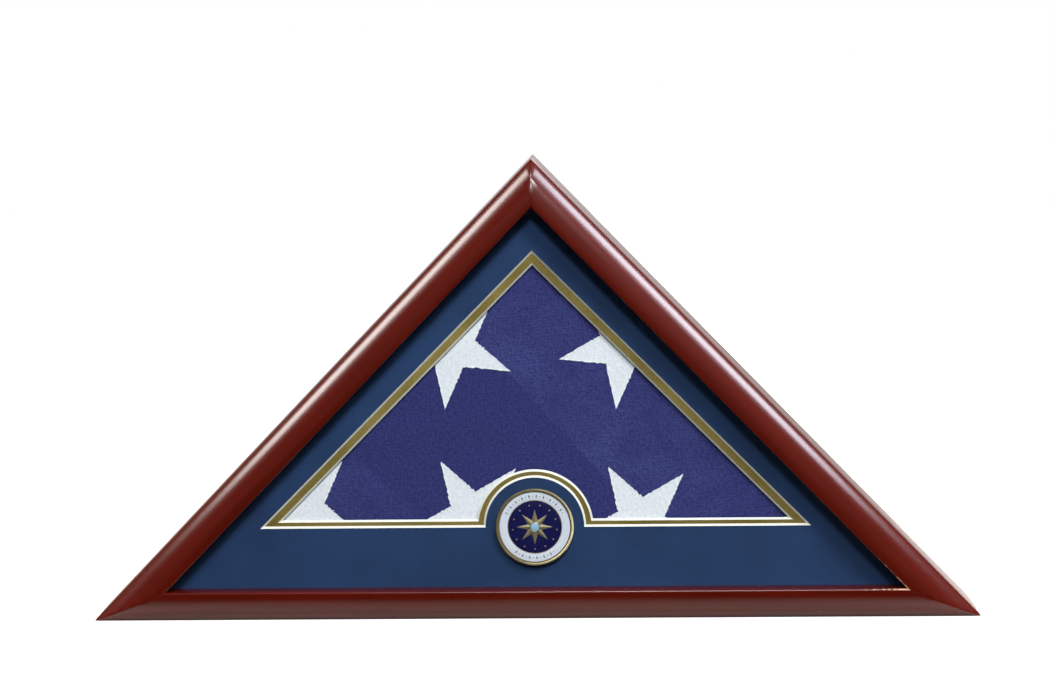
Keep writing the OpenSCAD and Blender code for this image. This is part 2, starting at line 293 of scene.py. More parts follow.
@dataclass(frozen=True)
class LacqueredMahogany(Finish):
    """Mahogany stained dark red and sprayed with semi-gloss lacquer, then rubbed down."""

    name: str = "lacquered_mahogany"
    deep: str = "480900"
    light: str = "5a1104"
    pore: str = "1c0402"
    bare: str = "b98a6c"
    figure_mm: tuple[float, float] = (110.0, 7.0)
    pore_mm: tuple[float, float] = (9.0, 0.5)
    peel_mm: float = 3.0
    chip_mm: float = 2.0
    figure_strength: float = 0.55
    pore_strength: float = 0.22
    gloss_blur: float = 0.23
    follows_map: ClassVar[bool] = True

    def look(self, tree: bpy.types.NodeTree, mm: bpy.types.Node) -> dict[str, Any]:
        """Long soft figure and fine pores under a clear coat, and bare wood where it is worn.

        The stain hides most of the grain, so the eye sees an even dark red that shows
        bands and pores only from close up, with soft-edged highlights from the lacquer.

        Args:
            tree: the material's nodes.
            mm: the spot on the stick, along its grain and across it.

        Returns:
            The shader's inputs.
        """
        grain = []
        for (long, across), detail in (
            (self.figure_mm, {"Detail": 4.0, "Roughness": 0.55, "Distortion": 0.4}),
            (self.pore_mm, {"Detail": 2.0}),
        ):
            drawn_out = add_node(tree, "ShaderNodeMapping", {"Vector": mm, "Scale": (1 / long, 1 / across, 1.0)})
            grain.append(add_node(tree, "ShaderNodeTexNoise", {"Vector": drawn_out, "Scale": 1.0, **detail}))
        band = add_node(
            tree, "ShaderNodeMapRange",
            {"Value": grain[0], "From Min": 0.3, "From Max": 0.7, "To Max": self.figure_strength},
        )
        shade = add_node(
            tree, "ShaderNodeMapRange",
            {"Value": grain[1], "From Min": 0.52, "From Max": 0.72, "To Max": self.pore_strength},
        )
        # Wear shows only where the attribute says that the edge is rubbed, and in chips.
        worn = add_node(tree, "ShaderNodeAttribute", attribute_name=WEAR_AND_SHEEN).outputs["Fac"]
        chips = add_node(
            tree, "ShaderNodeTexNoise", {"Vector": mm, "Scale": 1 / self.chip_mm, "Detail": 5.0, "Roughness": 0.7}
        )
        edge = add_node(tree, "ShaderNodeMath", {0: worn, 1: chips}, operation="MULTIPLY")
        bare = add_node(tree, "ShaderNodeMapRange", {"Value": edge, "From Min": 0.34, "From Max": 0.5})
        colour = linear(self.deep)
        for share, over in ((band, self.light), (shade, self.pore), (bare, self.bare)):
            layers = {MIX_FACTOR: share, MIX_A: colour, MIX_B: linear(over)}
            colour = add_node(tree, "ShaderNodeMix", layers, data_type="RGBA")
        # Rubbed lacquer keeps a faint orange peel.
        peel = add_node(tree, "ShaderNodeTexNoise", {"Vector": mm, "Scale": 1 / self.peel_mm, "Detail": 1.0})
        bump = add_node(tree, "ShaderNodeBump", {"Height": peel, "Strength": 0.12, "Distance": 0.1 * MM})
        return {
            "Base Color": colour, "Normal": bump, "Roughness": 0.45, "Specular IOR Level": 0.0, "IOR": 1.5,
            "Coat Normal": bump, "Coat Weight": 1.0, "Coat Roughness": self.gloss_blur, "Coat IOR": 1.5,
        }


@dataclass(frozen=True)
class MatPaper(Finish):
    """Surface paper of a mat board, with its fine fibres; the gold one holds metal flakes."""

    name: str = "mat_paper"
    colour: str = "1f3a63"
    light: str = "2a4a78"
    fibre_mm: float = 0.9
    metal: float = 0.0
    dullness: float = 0.8
    fibre_strength: float = 0.5
    cloud_mm: float = 60.0

    def look(self, tree: bpy.types.NodeTree, mm: bpy.types.Node) -> dict[str, Any]:
        """Speckled two-tone paper.

        The fibres are drawn about twice as coarse as real ones so that they show, and
        they give the eye a soft grain with a slight tooth.

        Args:
            tree: the material's nodes.
            mm: the spot on the paper.

        Returns:
            The shader's inputs.
        """
        fibre = add_node(
            tree, "ShaderNodeTexNoise",
            {"Vector": mm, "Scale": 1 / self.fibre_mm, "Detail": 4.0, "Roughness": 0.65},
        )
        cloud = add_node(tree, "ShaderNodeTexNoise", {"Vector": mm, "Scale": 1 / self.cloud_mm, "Detail": 2.0})
        both = add_node(tree, "ShaderNodeMath", {0: fibre, 1: cloud}, operation="MULTIPLY")
        share = add_node(
            tree, "ShaderNodeMapRange",
            {"Value": both, "From Min": 0.16, "From Max": 0.38, "To Max": self.fibre_strength},
        )
        tones = {MIX_FACTOR: share, MIX_A: linear(self.colour), MIX_B: linear(self.light)}
        return {
            "Base Color": add_node(tree, "ShaderNodeMix", tones, data_type="RGBA"),
            "Normal": add_node(tree, "ShaderNodeBump", {"Height": fibre, "Strength": 0.3, "Distance": 0.08 * MM}),
            "Metallic": self.metal, "Roughness": self.dullness, "Specular IOR Level": 0.3,
        }


@dataclass(frozen=True)
class TwoTone(Finish):
    """A finish of two near colours clouded into each other, slightly uneven."""

    colour: str = "f4f1e8"
    second: str = "e6e1d4"
    cloud_mm: float = 0.5
    unevenness: ClassVar[float] = 0.2
    shine: ClassVar[dict[str, float]] = {}

    def look(self, tree: bpy.types.NodeTree, mm: bpy.types.Node) -> dict[str, Any]:
        """One noise that shifts the colour and lifts the surface.

        Args:
            tree: the material's nodes.
            mm: the spot on the piece.

        Returns:
            The shader's inputs.
        """
        cloud = add_node(tree, "ShaderNodeTexNoise", {"Vector": mm, "Scale": 1 / self.cloud_mm, "Detail": 3.0})
        tones = {MIX_FACTOR: cloud, MIX_A: linear(self.colour), MIX_B: linear(self.second)}
        lift = {"Height": cloud, "Strength": self.unevenness, "Distance": 0.05 * MM}
        return {
            "Base Color": add_node(tree, "ShaderNodeMix", tones, data_type="RGBA"),
            "Normal": add_node(tree, "ShaderNodeBump", lift), **self.shine,
        }


@dataclass(frozen=True)
class WhiteCore(TwoTone):
    """The cut edge of a mat board: pressed white pulp, matt and faintly uneven to the eye."""

    name: str = "mat_core"
    shine: ClassVar[dict[str, float]] = {"Roughness": 0.9, "Specular IOR Level": 0.2}


@dataclass(frozen=True)
class Enamel(TwoTone):
    """Hard enamel, fired in a well and stoned level.

    Ground pigment leaves it slightly cloudy, and its surface is glassy.
    """

    name: str = "enamel"
    cloud_mm: float = 1.6
    unevenness: ClassVar[float] = 0.1
    shine: ClassVar[dict[str, float]] = {"Roughness": 0.3, "Coat Weight": 0.6, "Coat Roughness": 0.05}


@dataclass(frozen=True)
class ClearGlass(Finish):
    """Clear float glass, too thin and flat to bend what is behind it."""

    name: str = "clear_glass"
    tint: str = "fcfefd"
    index: float = 1.33
    smear_mm: float = 90.0
    smear_blur: float = 0.05

    def surface(self, tree: bpy.types.NodeTree, mm: bpy.types.Node) -> bpy.types.Node:
        """Lets light straight through and reflects a little.

        The reflection grows toward the edges as glass does, and faint wiping smears
        break it up.

        Args:
            tree: the material's nodes.
            mm: the spot on the pane.

        Returns:
            The shader.
        """
        smear = add_node(
            tree, "ShaderNodeTexNoise",
            {"Vector": mm, "Scale": 1 / self.smear_mm, "Detail": 3.0, "Distortion": 1.5},
        )
        blur = add_node(tree, "ShaderNodeMapRange", {"Value": smear, "To Min": 0.0, "To Max": self.smear_blur})
        through = add_node(tree, "ShaderNodeBsdfTransparent", {"Color": linear(self.tint)})
        mirror = add_node(tree, "ShaderNodeBsdfGlossy", {"Roughness": blur})
        fresnel = add_node(tree, "ShaderNodeFresnel", {"IOR": self.index})
        # Only the outer face mirrors, or the inner one would keep slanting light in.
        inner = add_node(tree, "ShaderNodeNewGeometry").outputs["Backfacing"]
        outer = add_node(tree, "ShaderNodeMath", {0: 1.0, 1: inner}, operation="SUBTRACT")
        share = add_node(tree, "ShaderNodeMath", {0: fresnel, 1: outer}, operation="MULTIPLY")
        return add_node(tree, "ShaderNodeMixShader", {0: share, 1: through, 2: mirror})


@dataclass(frozen=True)
class PlatedMetal(Finish):
    """Plated or bare metal, brush-finished, struck or drawn, with tarnish in its low places."""

    name: str = "plated_metal"
    colour: str = "d9b46a"
    tarnish: str = "7c5a2a"
    tarnish_share: float = 0.4
    polish: float = 0.28
    cloud_mm: float = 4.0
    scratch_mm: float = 0.35

    def look(self, tree: bpy.types.NodeTree, mm: bpy.types.Node) -> dict[str, Any]:
        """Clouds of tarnish over a metal that is scratched just enough to spread its shine.

        Args:
            tree: the material's nodes.
            mm: the spot on the metal.

        Returns:
            The shader's inputs.
        """
        cloud = add_node(
            tree, "ShaderNodeTexNoise",
            {"Vector": mm, "Scale": 1 / self.cloud_mm, "Detail": 4.0, "Roughness": 0.6},
        )
        share = add_node(
            tree, "ShaderNodeMapRange",
            {"Value": cloud, "From Min": 0.45, "From Max": 0.75, "To Max": self.tarnish_share},
        )
        scratch = add_node(tree, "ShaderNodeTexNoise", {"Vector": mm, "Scale": 1 / self.scratch_mm, "Detail": 2.0})
        rough = {"Value": cloud, "To Min": self.polish - 0.06, "To Max": self.polish + 0.14}
        tones = {MIX_FACTOR: share, MIX_A: linear(self.colour), MIX_B: linear(self.tarnish)}
        lift = {"Height": scratch, "Strength": 0.15, "Distance": 0.03 * MM}
        return {
            "Base Color": add_node(tree, "ShaderNodeMix", tones, data_type="RGBA"),
            "Roughness": add_node(tree, "ShaderNodeMapRange", rough),
            "Normal": add_node(tree, "ShaderNodeBump", lift),
            "Metallic": 1.0,
        }


@dataclass(frozen=True)
class Cotton(Finish):
    """Plain-woven cotton bunting."""

    name: str = "cotton"
    colour: str = "3b3d74"
    light: str = "4b508a"
    shadow: str = "202058"
    thread_mm: float = 1.5
    fuzz: float = 0.03
    weave_depth_mm: float = 0.12
    slub_mm: float = 2.2
    patch_mm: float = 34.0
    sheen_offset: float = 0.66
    follows_map: ClassVar[bool] = True

    def look(self, tree: bpy.types.NodeTree, mm: bpy.types.Node) -> dict[str, Any]:
        """A plain weave with slubs, and patches of painted sheen.

        The threads are drawn about twice as coarse as real bunting so that they show.
        Past a fold line the cloth is painted paler: a painted sheen of pile that lies another way.

        Args:
            tree: the material's nodes.
            mm: the spot on the cloth, along its own threads.

        Returns:
            The shader's inputs.
        """
        slub = add_node(
            tree, "ShaderNodeTexNoise",
            {"Vector": mm, "Scale": 1 / self.slub_mm, "Detail": 5.0, "Roughness": 0.7},
        )
        patch = add_node(
            tree, "ShaderNodeTexNoise",
            {"Vector": mm, "Scale": 1 / self.patch_mm, "Detail": 4.0, "Roughness": 0.6, "Distortion": 0.6},
        )
        sheen_mask = add_node(tree, "ShaderNodeAttribute", attribute_name=WEAR_AND_SHEEN).outputs["Fac"]
        # Painted sheen: where the mask and the patches are high, the cloth is mixed towards its light colour.
        brushed = add_node(
            tree, "ShaderNodeMath", {0: patch, 1: sheen_mask, 2: self.sheen_offset}, operation="MULTIPLY_ADD"
        )
        painted_sheen = add_node(
            tree, "ShaderNodeMapRange", {"Value": brushed, "From Min": 0.95, "From Max": 1.25, "To Max": 0.85}
        )
        threads = self.weave(tree, mm, self.thread_mm, "XY")
        grain = add_node(tree, "ShaderNodeMath", {0: threads, 1: 0.2, 2: slub}, operation="MULTIPLY_ADD")
        depth = add_node(
            tree, "ShaderNodeMapRange",
            {"Value": grain, "From Min": 0.3, "From Max": 0.66, "To Min": 0.95, "To Max": 0.0},
        )
        colour = linear(self.colour)
        for share, over in ((painted_sheen, self.light), (depth, self.shadow)):
            layers = {MIX_FACTOR: share, MIX_A: colour, MIX_B: linear(over)}
            colour = add_node(tree, "ShaderNodeMix", layers, data_type="RGBA")
        lift = {"Height": grain, "Strength": 0.6, "Distance": self.weave_depth_mm * MM}
        return {
            "Base Color": colour, "Normal": add_node(tree, "ShaderNodeBump", lift), "Roughness": 0.92,
            "Specular IOR Level": 0.15, "Sheen Weight": self.fuzz, "Sheen Roughness": 0.5,
        }


@dataclass(frozen=True)
class Hardboard(Finish):
    """Dark hardboard, its screen-pressed side outwards."""

    name: str = "hardboard"
    colour: str = "3a2a20"
    light: str = "5a4433"
    screen_mm: float = 1.5
    fibre_mm: float = 2.5

    def look(self, tree: bpy.types.NodeTree, mm: bpy.types.Node) -> dict[str, Any]:
        """Matted brown fibres under the waffle that the press's screen leaves.

        The screen is drawn at 1.5 mm, near its real pitch, and gives the eye a cloth-like
        texture; longer fibres mottle it.

        Args:
            tree: the material's nodes.
            mm: the spot on the board.

        Returns:
            The shader's inputs.
        """
        fibre = add_node(
            tree, "ShaderNodeTexNoise",
            {"Vector": mm, "Scale": 1 / self.fibre_mm, "Detail": 6.0, "Roughness": 0.75, "Distortion": 1.2},
        )
        screen = self.weave(tree, mm, self.screen_mm, "XZ")
        height = add_node(tree, "ShaderNodeMath", {0: screen, 1: 0.3, 2: fibre}, operation="MULTIPLY_ADD")
        tones = {MIX_FACTOR: fibre, MIX_A: linear(self.colour), MIX_B: linear(self.light)}
        lift = {"Height": height, "Strength": 0.7, "Distance": 0.2 * MM}
        return {
            "Base Color": add_node(tree, "ShaderNodeMix", tones, data_type="RGBA"),
            "Normal": add_node(tree, "ShaderNodeBump", lift), "Roughness": 0.75, "Specular IOR Level": 0.35,
        }


BLUE_PAPER = MatPaper("blue_mat_paper", "1a3156", "234472", 0.9, 0.0, 0.75, 0.5)
GOLD_PAPER = MatPaper("gold_mat_paper", "7d6a30", "b39c5c", 0.7, 0.55, 0.5, 0.9)
GILT = PlatedMetal("gilt_metal", "d9c9a0", "7d6a44", 0.6, 0.42, 1.2, 0.3)
DARK_GILT = PlatedMetal("dark_gilt", "8d7d58", "5a4b30", 0.6, 0.5, 1.2, 0.3)
BRASS = PlatedMetal("brass_plate", "c9a85e", "7e6231", 0.5, 0.26, 5.0, 0.3)
ZINC = PlatedMetal("zinc_plate", "b9bcc0", "8b9096", 0.6, 0.34, 3.0, 0.3)
WHITE_ENAMEL = Enamel("white_enamel", "e3e5f1", "d0d3e2")
NAVY_ENAMEL = Enamel("navy_enamel", "14144e", "0e0f3e")
PALE_ENAMEL = Enamel("pale_blue_enamel", "9cc6dc", "84b0cc")
NAVY_COTTON = Cotton("navy_cotton")
WHITE_COTTON = Cotton("white_embroidery", "f3f3f7", "fbfbfd", "d2d4de", 1.1, 0.1, 0.1)
FOAM = MatPaper("foam_pad", "e8e8e2", "cfcfc8", 0.6, 0.0, 0.95, 0.8)

# ---------------------------------------------------------------- making a piece


def settle(
    name: str,
    shape: bmesh.types.BMesh,
    finishes: Sequence[Finish],
    *,
    stands_for: Sequence[str],
    body: str = "case",
    smooth_to: float = 35.0,
) -> bpy.types.Object:
    """Makes a finished piece from its shape and hands it to the frame.

    Args:
        name: the piece's name.
        shape: its mesh in the frame's place; it is freed here.
        finishes: its materials, in the order of its faces' material numbers.
        stands_for: the CAD nodes that it replaces.
        body: the body that it moves with.
        smooth_to: edges that turn by less than this many degrees are shaded smooth.

    Returns:
        The new object.
    """
    mesh = bpy.data.meshes.new(name)
    shape.to_mesh(mesh)
    shape.free()
    for finish in finishes:
        mesh.materials.append(finish.material())
    mesh.shade_smooth()
    mesh.set_sharp_from_angle(angle=math.radians(smooth_to))
    piece = bpy.data.objects.new(name, mesh)
    bpy.context.scene.collection.objects.link(piece)
    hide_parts(*stands_for)
    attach(piece, body)
    log.info("%s: %d faces, rides on %s", name, len(mesh.polygons), body)
    return piece


def dress_node(node: str, finish: Finish) -> None:
    """Gives a CAD piece that is kept as it is a finish of its own.

    Args:
        node: the CAD node.
        finish: its finish.
    """
    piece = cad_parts[node]
    piece.data.materials.clear()
    piece.data.materials.append(finish.material())
    log.info("%s: kept as in the frame, dressed as %s", node, finish.name)


def trim(
    shape: bmesh.types.BMesh, point: Vector, outward: Vector, merge: float = 1e-7
) -> list[bmesh.types.BMEdge]:
    """Cuts off what lies beyond a plane.

    Args:
        shape: the shape.
        point: a point of the plane.
        outward: the direction of what goes.
        merge: how near the plane a corner counts as on it.

    Returns:
        The edges of the cut.
    """
    cut = bmesh.ops.bisect_plane(
        shape, geom=shape.verts[:] + shape.edges[:] + shape.faces[:], dist=merge,
        plane_co=point, plane_no=outward, clear_outer=True,
    )
    return [item for item in cut["geom_cut"] if isinstance(item, bmesh.types.BMEdge)]


def round_off(
    shape: bmesh.types.BMesh, edges: Sequence[bmesh.types.BMEdge], width: float, steps: int, clamp: bool = True
) -> None:
    """Rounds edges.

    Args:
        shape: the shape.
        edges: the edges.
        width: the width of the rounding in metres.
        steps: how many faces it has.
        clamp: whether it stops where two roundings would meet.
    """
    bmesh.ops.bevel(
        shape, geom=edges, offset=width, segments=steps, profile=0.5, affect="EDGES", material=-1,
        clamp_overlap=clamp,
    )


def pour(part: bmesh.types.BMesh, whole: bmesh.types.BMesh) -> None:
    """Adds a part to a whole, and frees the part.

    Args:
        part: the part.
        whole: what it is added to.
    """
    spare = bpy.data.meshes.new("spare")
    part.to_mesh(spare)
    part.free()
    whole.from_mesh(spare)
    bpy.data.meshes.remove(spare)


def clamped(value: float) -> float:
    """Holds a value between 0 and 1."""
    return min(1.0, max(0.0, value))


def lay_weave(shape: bmesh.types.BMesh, degrees: float) -> None:
    """Lays the map of a cloth that faces the front, in metres.

    Args:
        shape: the cloth.
        degrees: how far its threads are turned.
    """
    layer = shape.loops.layers.uv.new(GRAIN_MAP)
    turn = Matrix.Rotation(math.radians(degrees), 2)
    for face in shape.faces:
        for loop in face.loops:
            loop[layer].uv = turn @ Vector((loop.vert.co.x, loop.vert.co.z))


class Pen:
    """Draws a closed outline as edges, its round stretches spun about their centres."""

    def __init__(self, shape: bmesh.types.BMesh, start: Sequence[float]) -> None:
        """Starts the outline at a point.

        Args:
            shape: what the outline is drawn in.
            start: the point.
        """
        self.shape = shape
        self.first = shape.verts.new(start)
        self.last = self.first

    def line(self, *points: Sequence[float]) -> "Pen":
        """Draws straight runs.

        Args:
            points: where each of them ends.

        Returns:
            The pen itself.
        """
        for point in points:
            vert = self.shape.verts.new(point)
            self.shape.edges.new((self.last, vert))
            self.last = vert
        return self

    def arc(self, centre: Sequence[float], axis: Sequence[float], degrees: float, steps: int) -> "Pen":
        """Draws a round run by spinning the outline's end.

        Args:
            centre: the middle of the arc.
            axis: the direction that it turns about.
            degrees: how far it turns.
            steps: how many edges it has.

        Returns:
            The pen itself.
        """
        spun = bmesh.ops.spin(
            self.shape, geom=[self.last], cent=centre, axis=axis, angle=math.radians(degrees), steps=steps,
        )
        self.last = spun["geom_last"][0]
        return self

    def join(self) -> None:
        """Joins the end to the start."""
        self.shape.edges.new((self.last, self.first))

    def close(self) -> None:
        """Joins the end to the start and fills the outline with one face."""
        self.join()
        bmesh.ops.edgeloop_fill(self.shape, edges=self.shape.edges[:])


# ---------------------------------------------------------------- woodwork


@dataclass(frozen=True)
class Stick:
    """A length of shaped wood with mitred ends, along one side of the case."""

    triangle: Triangle
    side: Side
    seam: float = 0.06 * MM
    arris: float = 0.22 * MM
    slice_length: float = 9 * MM
    sharp: float = math.radians(30)
    # Keeps the figure of each stick apart from the others'.
    map_shift: float = 1.7

    def lengthwise(self, shape: bmesh.types.BMesh) -> list[bmesh.types.BMEdge]:
        """Finds the edges that run the stick's whole length, while it still lies along X."""
        half = self.triangle.length(self.side) / 2
        return [e for e in shape.edges if abs(e.verts[0].co.x - e.verts[1].co.x) > half]

    def run(self, shape: bmesh.types.BMesh, ease: float = 0.0) -> bmesh.types.BMesh:
        """Turns a drawn section into the finished stick in its place.

        Args:
            shape: holds the section as one face, drawn as (0, depth, inset).
            ease: bevel on the stick's long square arrises, or 0 for none.

        Returns:
            The same bmesh, holding the stick.
        """
        length = self.triangle.length(self.side)
        pushed = bmesh.ops.extrude_face_region(shape, geom=shape.faces[:])
        moved = [item for item in pushed["geom"] if isinstance(item, bmesh.types.BMVert)]
        bmesh.ops.translate(shape, verts=moved, vec=(length, 0, 0))
        bmesh.ops.recalc_face_normals(shape, faces=shape.faces[:])
        if ease:
            sharp = [e for e in self.lengthwise(shape) if e.calc_face_angle_signed() > self.sharp]
            round_off(shape, sharp, ease, 3, clamp=False)
        bmesh.ops.subdivide_edges(
            shape, edges=self.lengthwise(shape), cuts=int(length / self.slice_length), use_grid_fill=False,
        )
        self.mitre(shape, length)
        self.map_grain(shape)
        shape.transform(self.triangle.onto(self.side))
        return shape

    def mitre(self, shape: bmesh.types.BMesh, length: float) -> None:
        """Cuts both ends to the triangle's mitres and eases the cut's edges.

        Args:
            shape: the stick, still lying along X.
            length: the stick's length along its outer edge.
        """
        start, end = (angle / 2 for angle in self.triangle.corner_angles(self.side))
        planes = [
            (Vector((self.seam, 0, 0)), Vector((-math.sin(start), 0, math.cos(start)))),
            (Vector((length - self.seam, 0, 0)), Vector((math.sin(end), 0, math.cos(end)))),
        ]
        for point, normal in planes:
            rim = trim(shape, point, normal, 1e-6)
            bmesh.ops.edgeloop_fill(shape, edges=rim)
            round_off(shape, rim, self.arris, 2)
        bmesh.ops.recalc_face_normals(shape, faces=shape.faces[:])

    def map_grain(self, shape: bmesh.types.BMesh) -> None:
        """Lays the grain map: along the stick, and round its section, in metres.

        Args:
            shape: the stick, still lying along X.
        """
        layer = shape.loops.layers.uv.new(GRAIN_MAP)
        shift = self.map_shift * self.side.value
        for face in shape.faces:
            for loop in face.loops:
                along, depth, inset = loop.vert.co
                loop[layer].uv = (along + shift, inset - depth + shift)


@dataclass(frozen=True)
class FrontMouldings:
    """The three crowned mouldings that hold the glass."""

    triangle: Triangle
    crown_drop: float = 14 * MM
    lip_flat: float = 2.5 * MM
    lip_radius: float = 1.2 * MM
    lip_thickness: float = 4.5 * MM
    rebate: float = 7 * MM
    groove: float = 0.6 * MM
    worn_corner: float = 42 * MM

    @property
    def face_width(self) -> float:
        """Width of the face, square to its edge."""
        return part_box("bottom_rail")[1].z

    @property
    def depth(self) -> float:
        """Depth of the moulding from its lip to its back."""
        low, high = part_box("bottom_rail")
        return high.y - low.y

    def section(self) -> bmesh.types.BMesh:
        """Draws the section: crowned face, rounded lip, rebate and joint groove.

        Returns:
            The section as one face.
        """
        crown_width = self.face_width - self.lip_flat
        radius = (crown_width ** 2 + self.crown_drop ** 2) / (2 * self.crown_drop)
        sweep = math.degrees(math.acos(1 - self.crown_drop / radius))
        rebate_inset = self.face_width - self.rebate
        shape = bmesh.new()
        pen = Pen(shape, (0, self.crown_drop, 0))
        pen.arc((0, radius, crown_width), (1, 0, 0), -sweep, 28)
        pen.line((0, 0, self.face_width - self.lip_radius))
        pen.arc((0, self.lip_radius, self.face_width - self.lip_radius), (1, 0, 0), -90, 6)
        pen.line(
            (0, self.lip_thickness, self.face_width),
            (0, self.lip_thickness, rebate_inset),
            (0, self.depth, rebate_inset),
            (0, self.depth, self.groove),
            (0, self.depth - self.groove, 0),
        )
        pen.close()
        return shape

    def build(self) -> list[bpy.types.Object]:
        """Builds the three mouldings.

        Returns:
            The mouldings.
        """
        made = []
        for side in BUILD_ORDER:
            stick = Stick(self.triangle, side).run(self.section())
            self.mark_wear(stick, side)
            made.append(settle(
                f"{side.label}_moulding", stick, [LacqueredMahogany()],
                stands_for=[f"{side.label}_rail"],
            ))
        return made

    def mark_wear(self, shape: bmesh.types.BMesh, side: Side) -> None:
        """Marks where the lip's edge is rubbed: a little everywhere, most at the lower right corner.

        Args:
            shape: the moulding in its place.
            side: the side that it is on.
        """
        layer = shape.verts.layers.float.new(WEAR_AND_SHEEN)
        to_side = self.triangle.onto(side).inverted()
        corner = Vector((
            self.triangle.half_at(self.face_width, self.face_width), self.triangle.front, self.face_width,
        ))
        for vert in shape.verts:
            _, depth, inset = to_side @ vert.co
            on_edge = inset > self.face_width - self.lip_radius * 0.9 and depth < self.lip_radius * 1.2
            near = clamped(1 - (vert.co - corner).length / self.worn_corner)
            vert[layer] = (0.5 + 0.5 * near) if on_edge else 0.0


@dataclass(frozen=True)
class Boards:
    """The three boards of the box behind the mouldings."""

    triangle: Triangle
    ledge: float = 11 * MM
    ledge_depth: float = 79.1 * MM
    groove: float = 0.6 * MM
    back_chamfer: float = 1.0 * MM
    ease: float = 0.4 * MM

    def section(self) -> bmesh.types.BMesh:
        """Draws the section: a board with a ledge for the back panel.

        Returns:
            The section as one face.
        """
        low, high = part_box("bottom_board")
        start, end = low.y - self.triangle.front, high.y - self.triangle.front
        shape = bmesh.new()
        Pen(shape, (0, start + self.groove, 0)).line(
            (0, start, self.groove),
            (0, start, high.z),
            (0, self.ledge_depth, high.z),
            (0, self.ledge_depth, self.ledge),
            (0, end, self.ledge),
            (0, end, self.back_chamfer),
            (0, end - self.back_chamfer, 0),
        ).close()
        return shape

    def build(self) -> list[bpy.types.Object]:
        """Builds the three boards.

        Returns:
            The boards.
        """
        return [
            settle(
                f"{side.label}_side_board", Stick(self.triangle, side).run(self.section(), self.ease),
                [LacqueredMahogany()], stands_for=[f"{side.label}_board"],
            )
            for side in BUILD_ORDER
        ]


# ---------------------------------------------------------------- what the mouldings hold


def softened(node: str, ease: float, steps: int = 2) -> bmesh.types.BMesh:
    """Copies a CAD node and rounds its sharp edges a little.

    Args:
        node: the CAD node's name.
        ease: the width of the rounding in metres, or 0 for none.
        steps: how many faces each rounding has.

    Returns:
        The softened copy.
    """
    shape = bmesh.new()
    shape.from_mesh(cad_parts[node].data)
    bmesh.ops.remove_doubles(shape, verts=shape.verts, dist=0.001 * MM)
    bmesh.ops.dissolve_limit(shape, angle_limit=math.radians(1), verts=shape.verts, edges=shape.edges)
    if ease:
        sharp = [e for e in shape.edges if e.is_manifold and e.calc_face_angle() > math.radians(40)]
        round_off(shape, sharp, ease, steps)
    return shape


@dataclass(frozen=True)
class GlazingPack:
    """The glass and the strips that hold the mats away from it."""

    triangle: Triangle
    ease: float = 0.3 * MM

    def build(self) -> list[bpy.types.Object]:
        """Dresses the glass and builds the three spacer strips.

        Returns:
            The strips.
        """
        dress_node("glass_pane", ClearGlass())
        low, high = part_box("bottom_spacer")
        near, far = low.y - self.triangle.front, high.y - self.triangle.front
        made = []
        for side in BUILD_ORDER:
            shape = bmesh.new()
            Pen(shape, (0, near, low.z)).line((0, near, high.z), (0, far, high.z), (0, far, low.z)).close()
            made.append(settle(
                f"{side.label}_spacer_strip", Stick(self.triangle, side).run(shape, self.ease),
                [LacqueredMahogany()], stands_for=[f"{side.label}_spacer"],
            ))
        return made


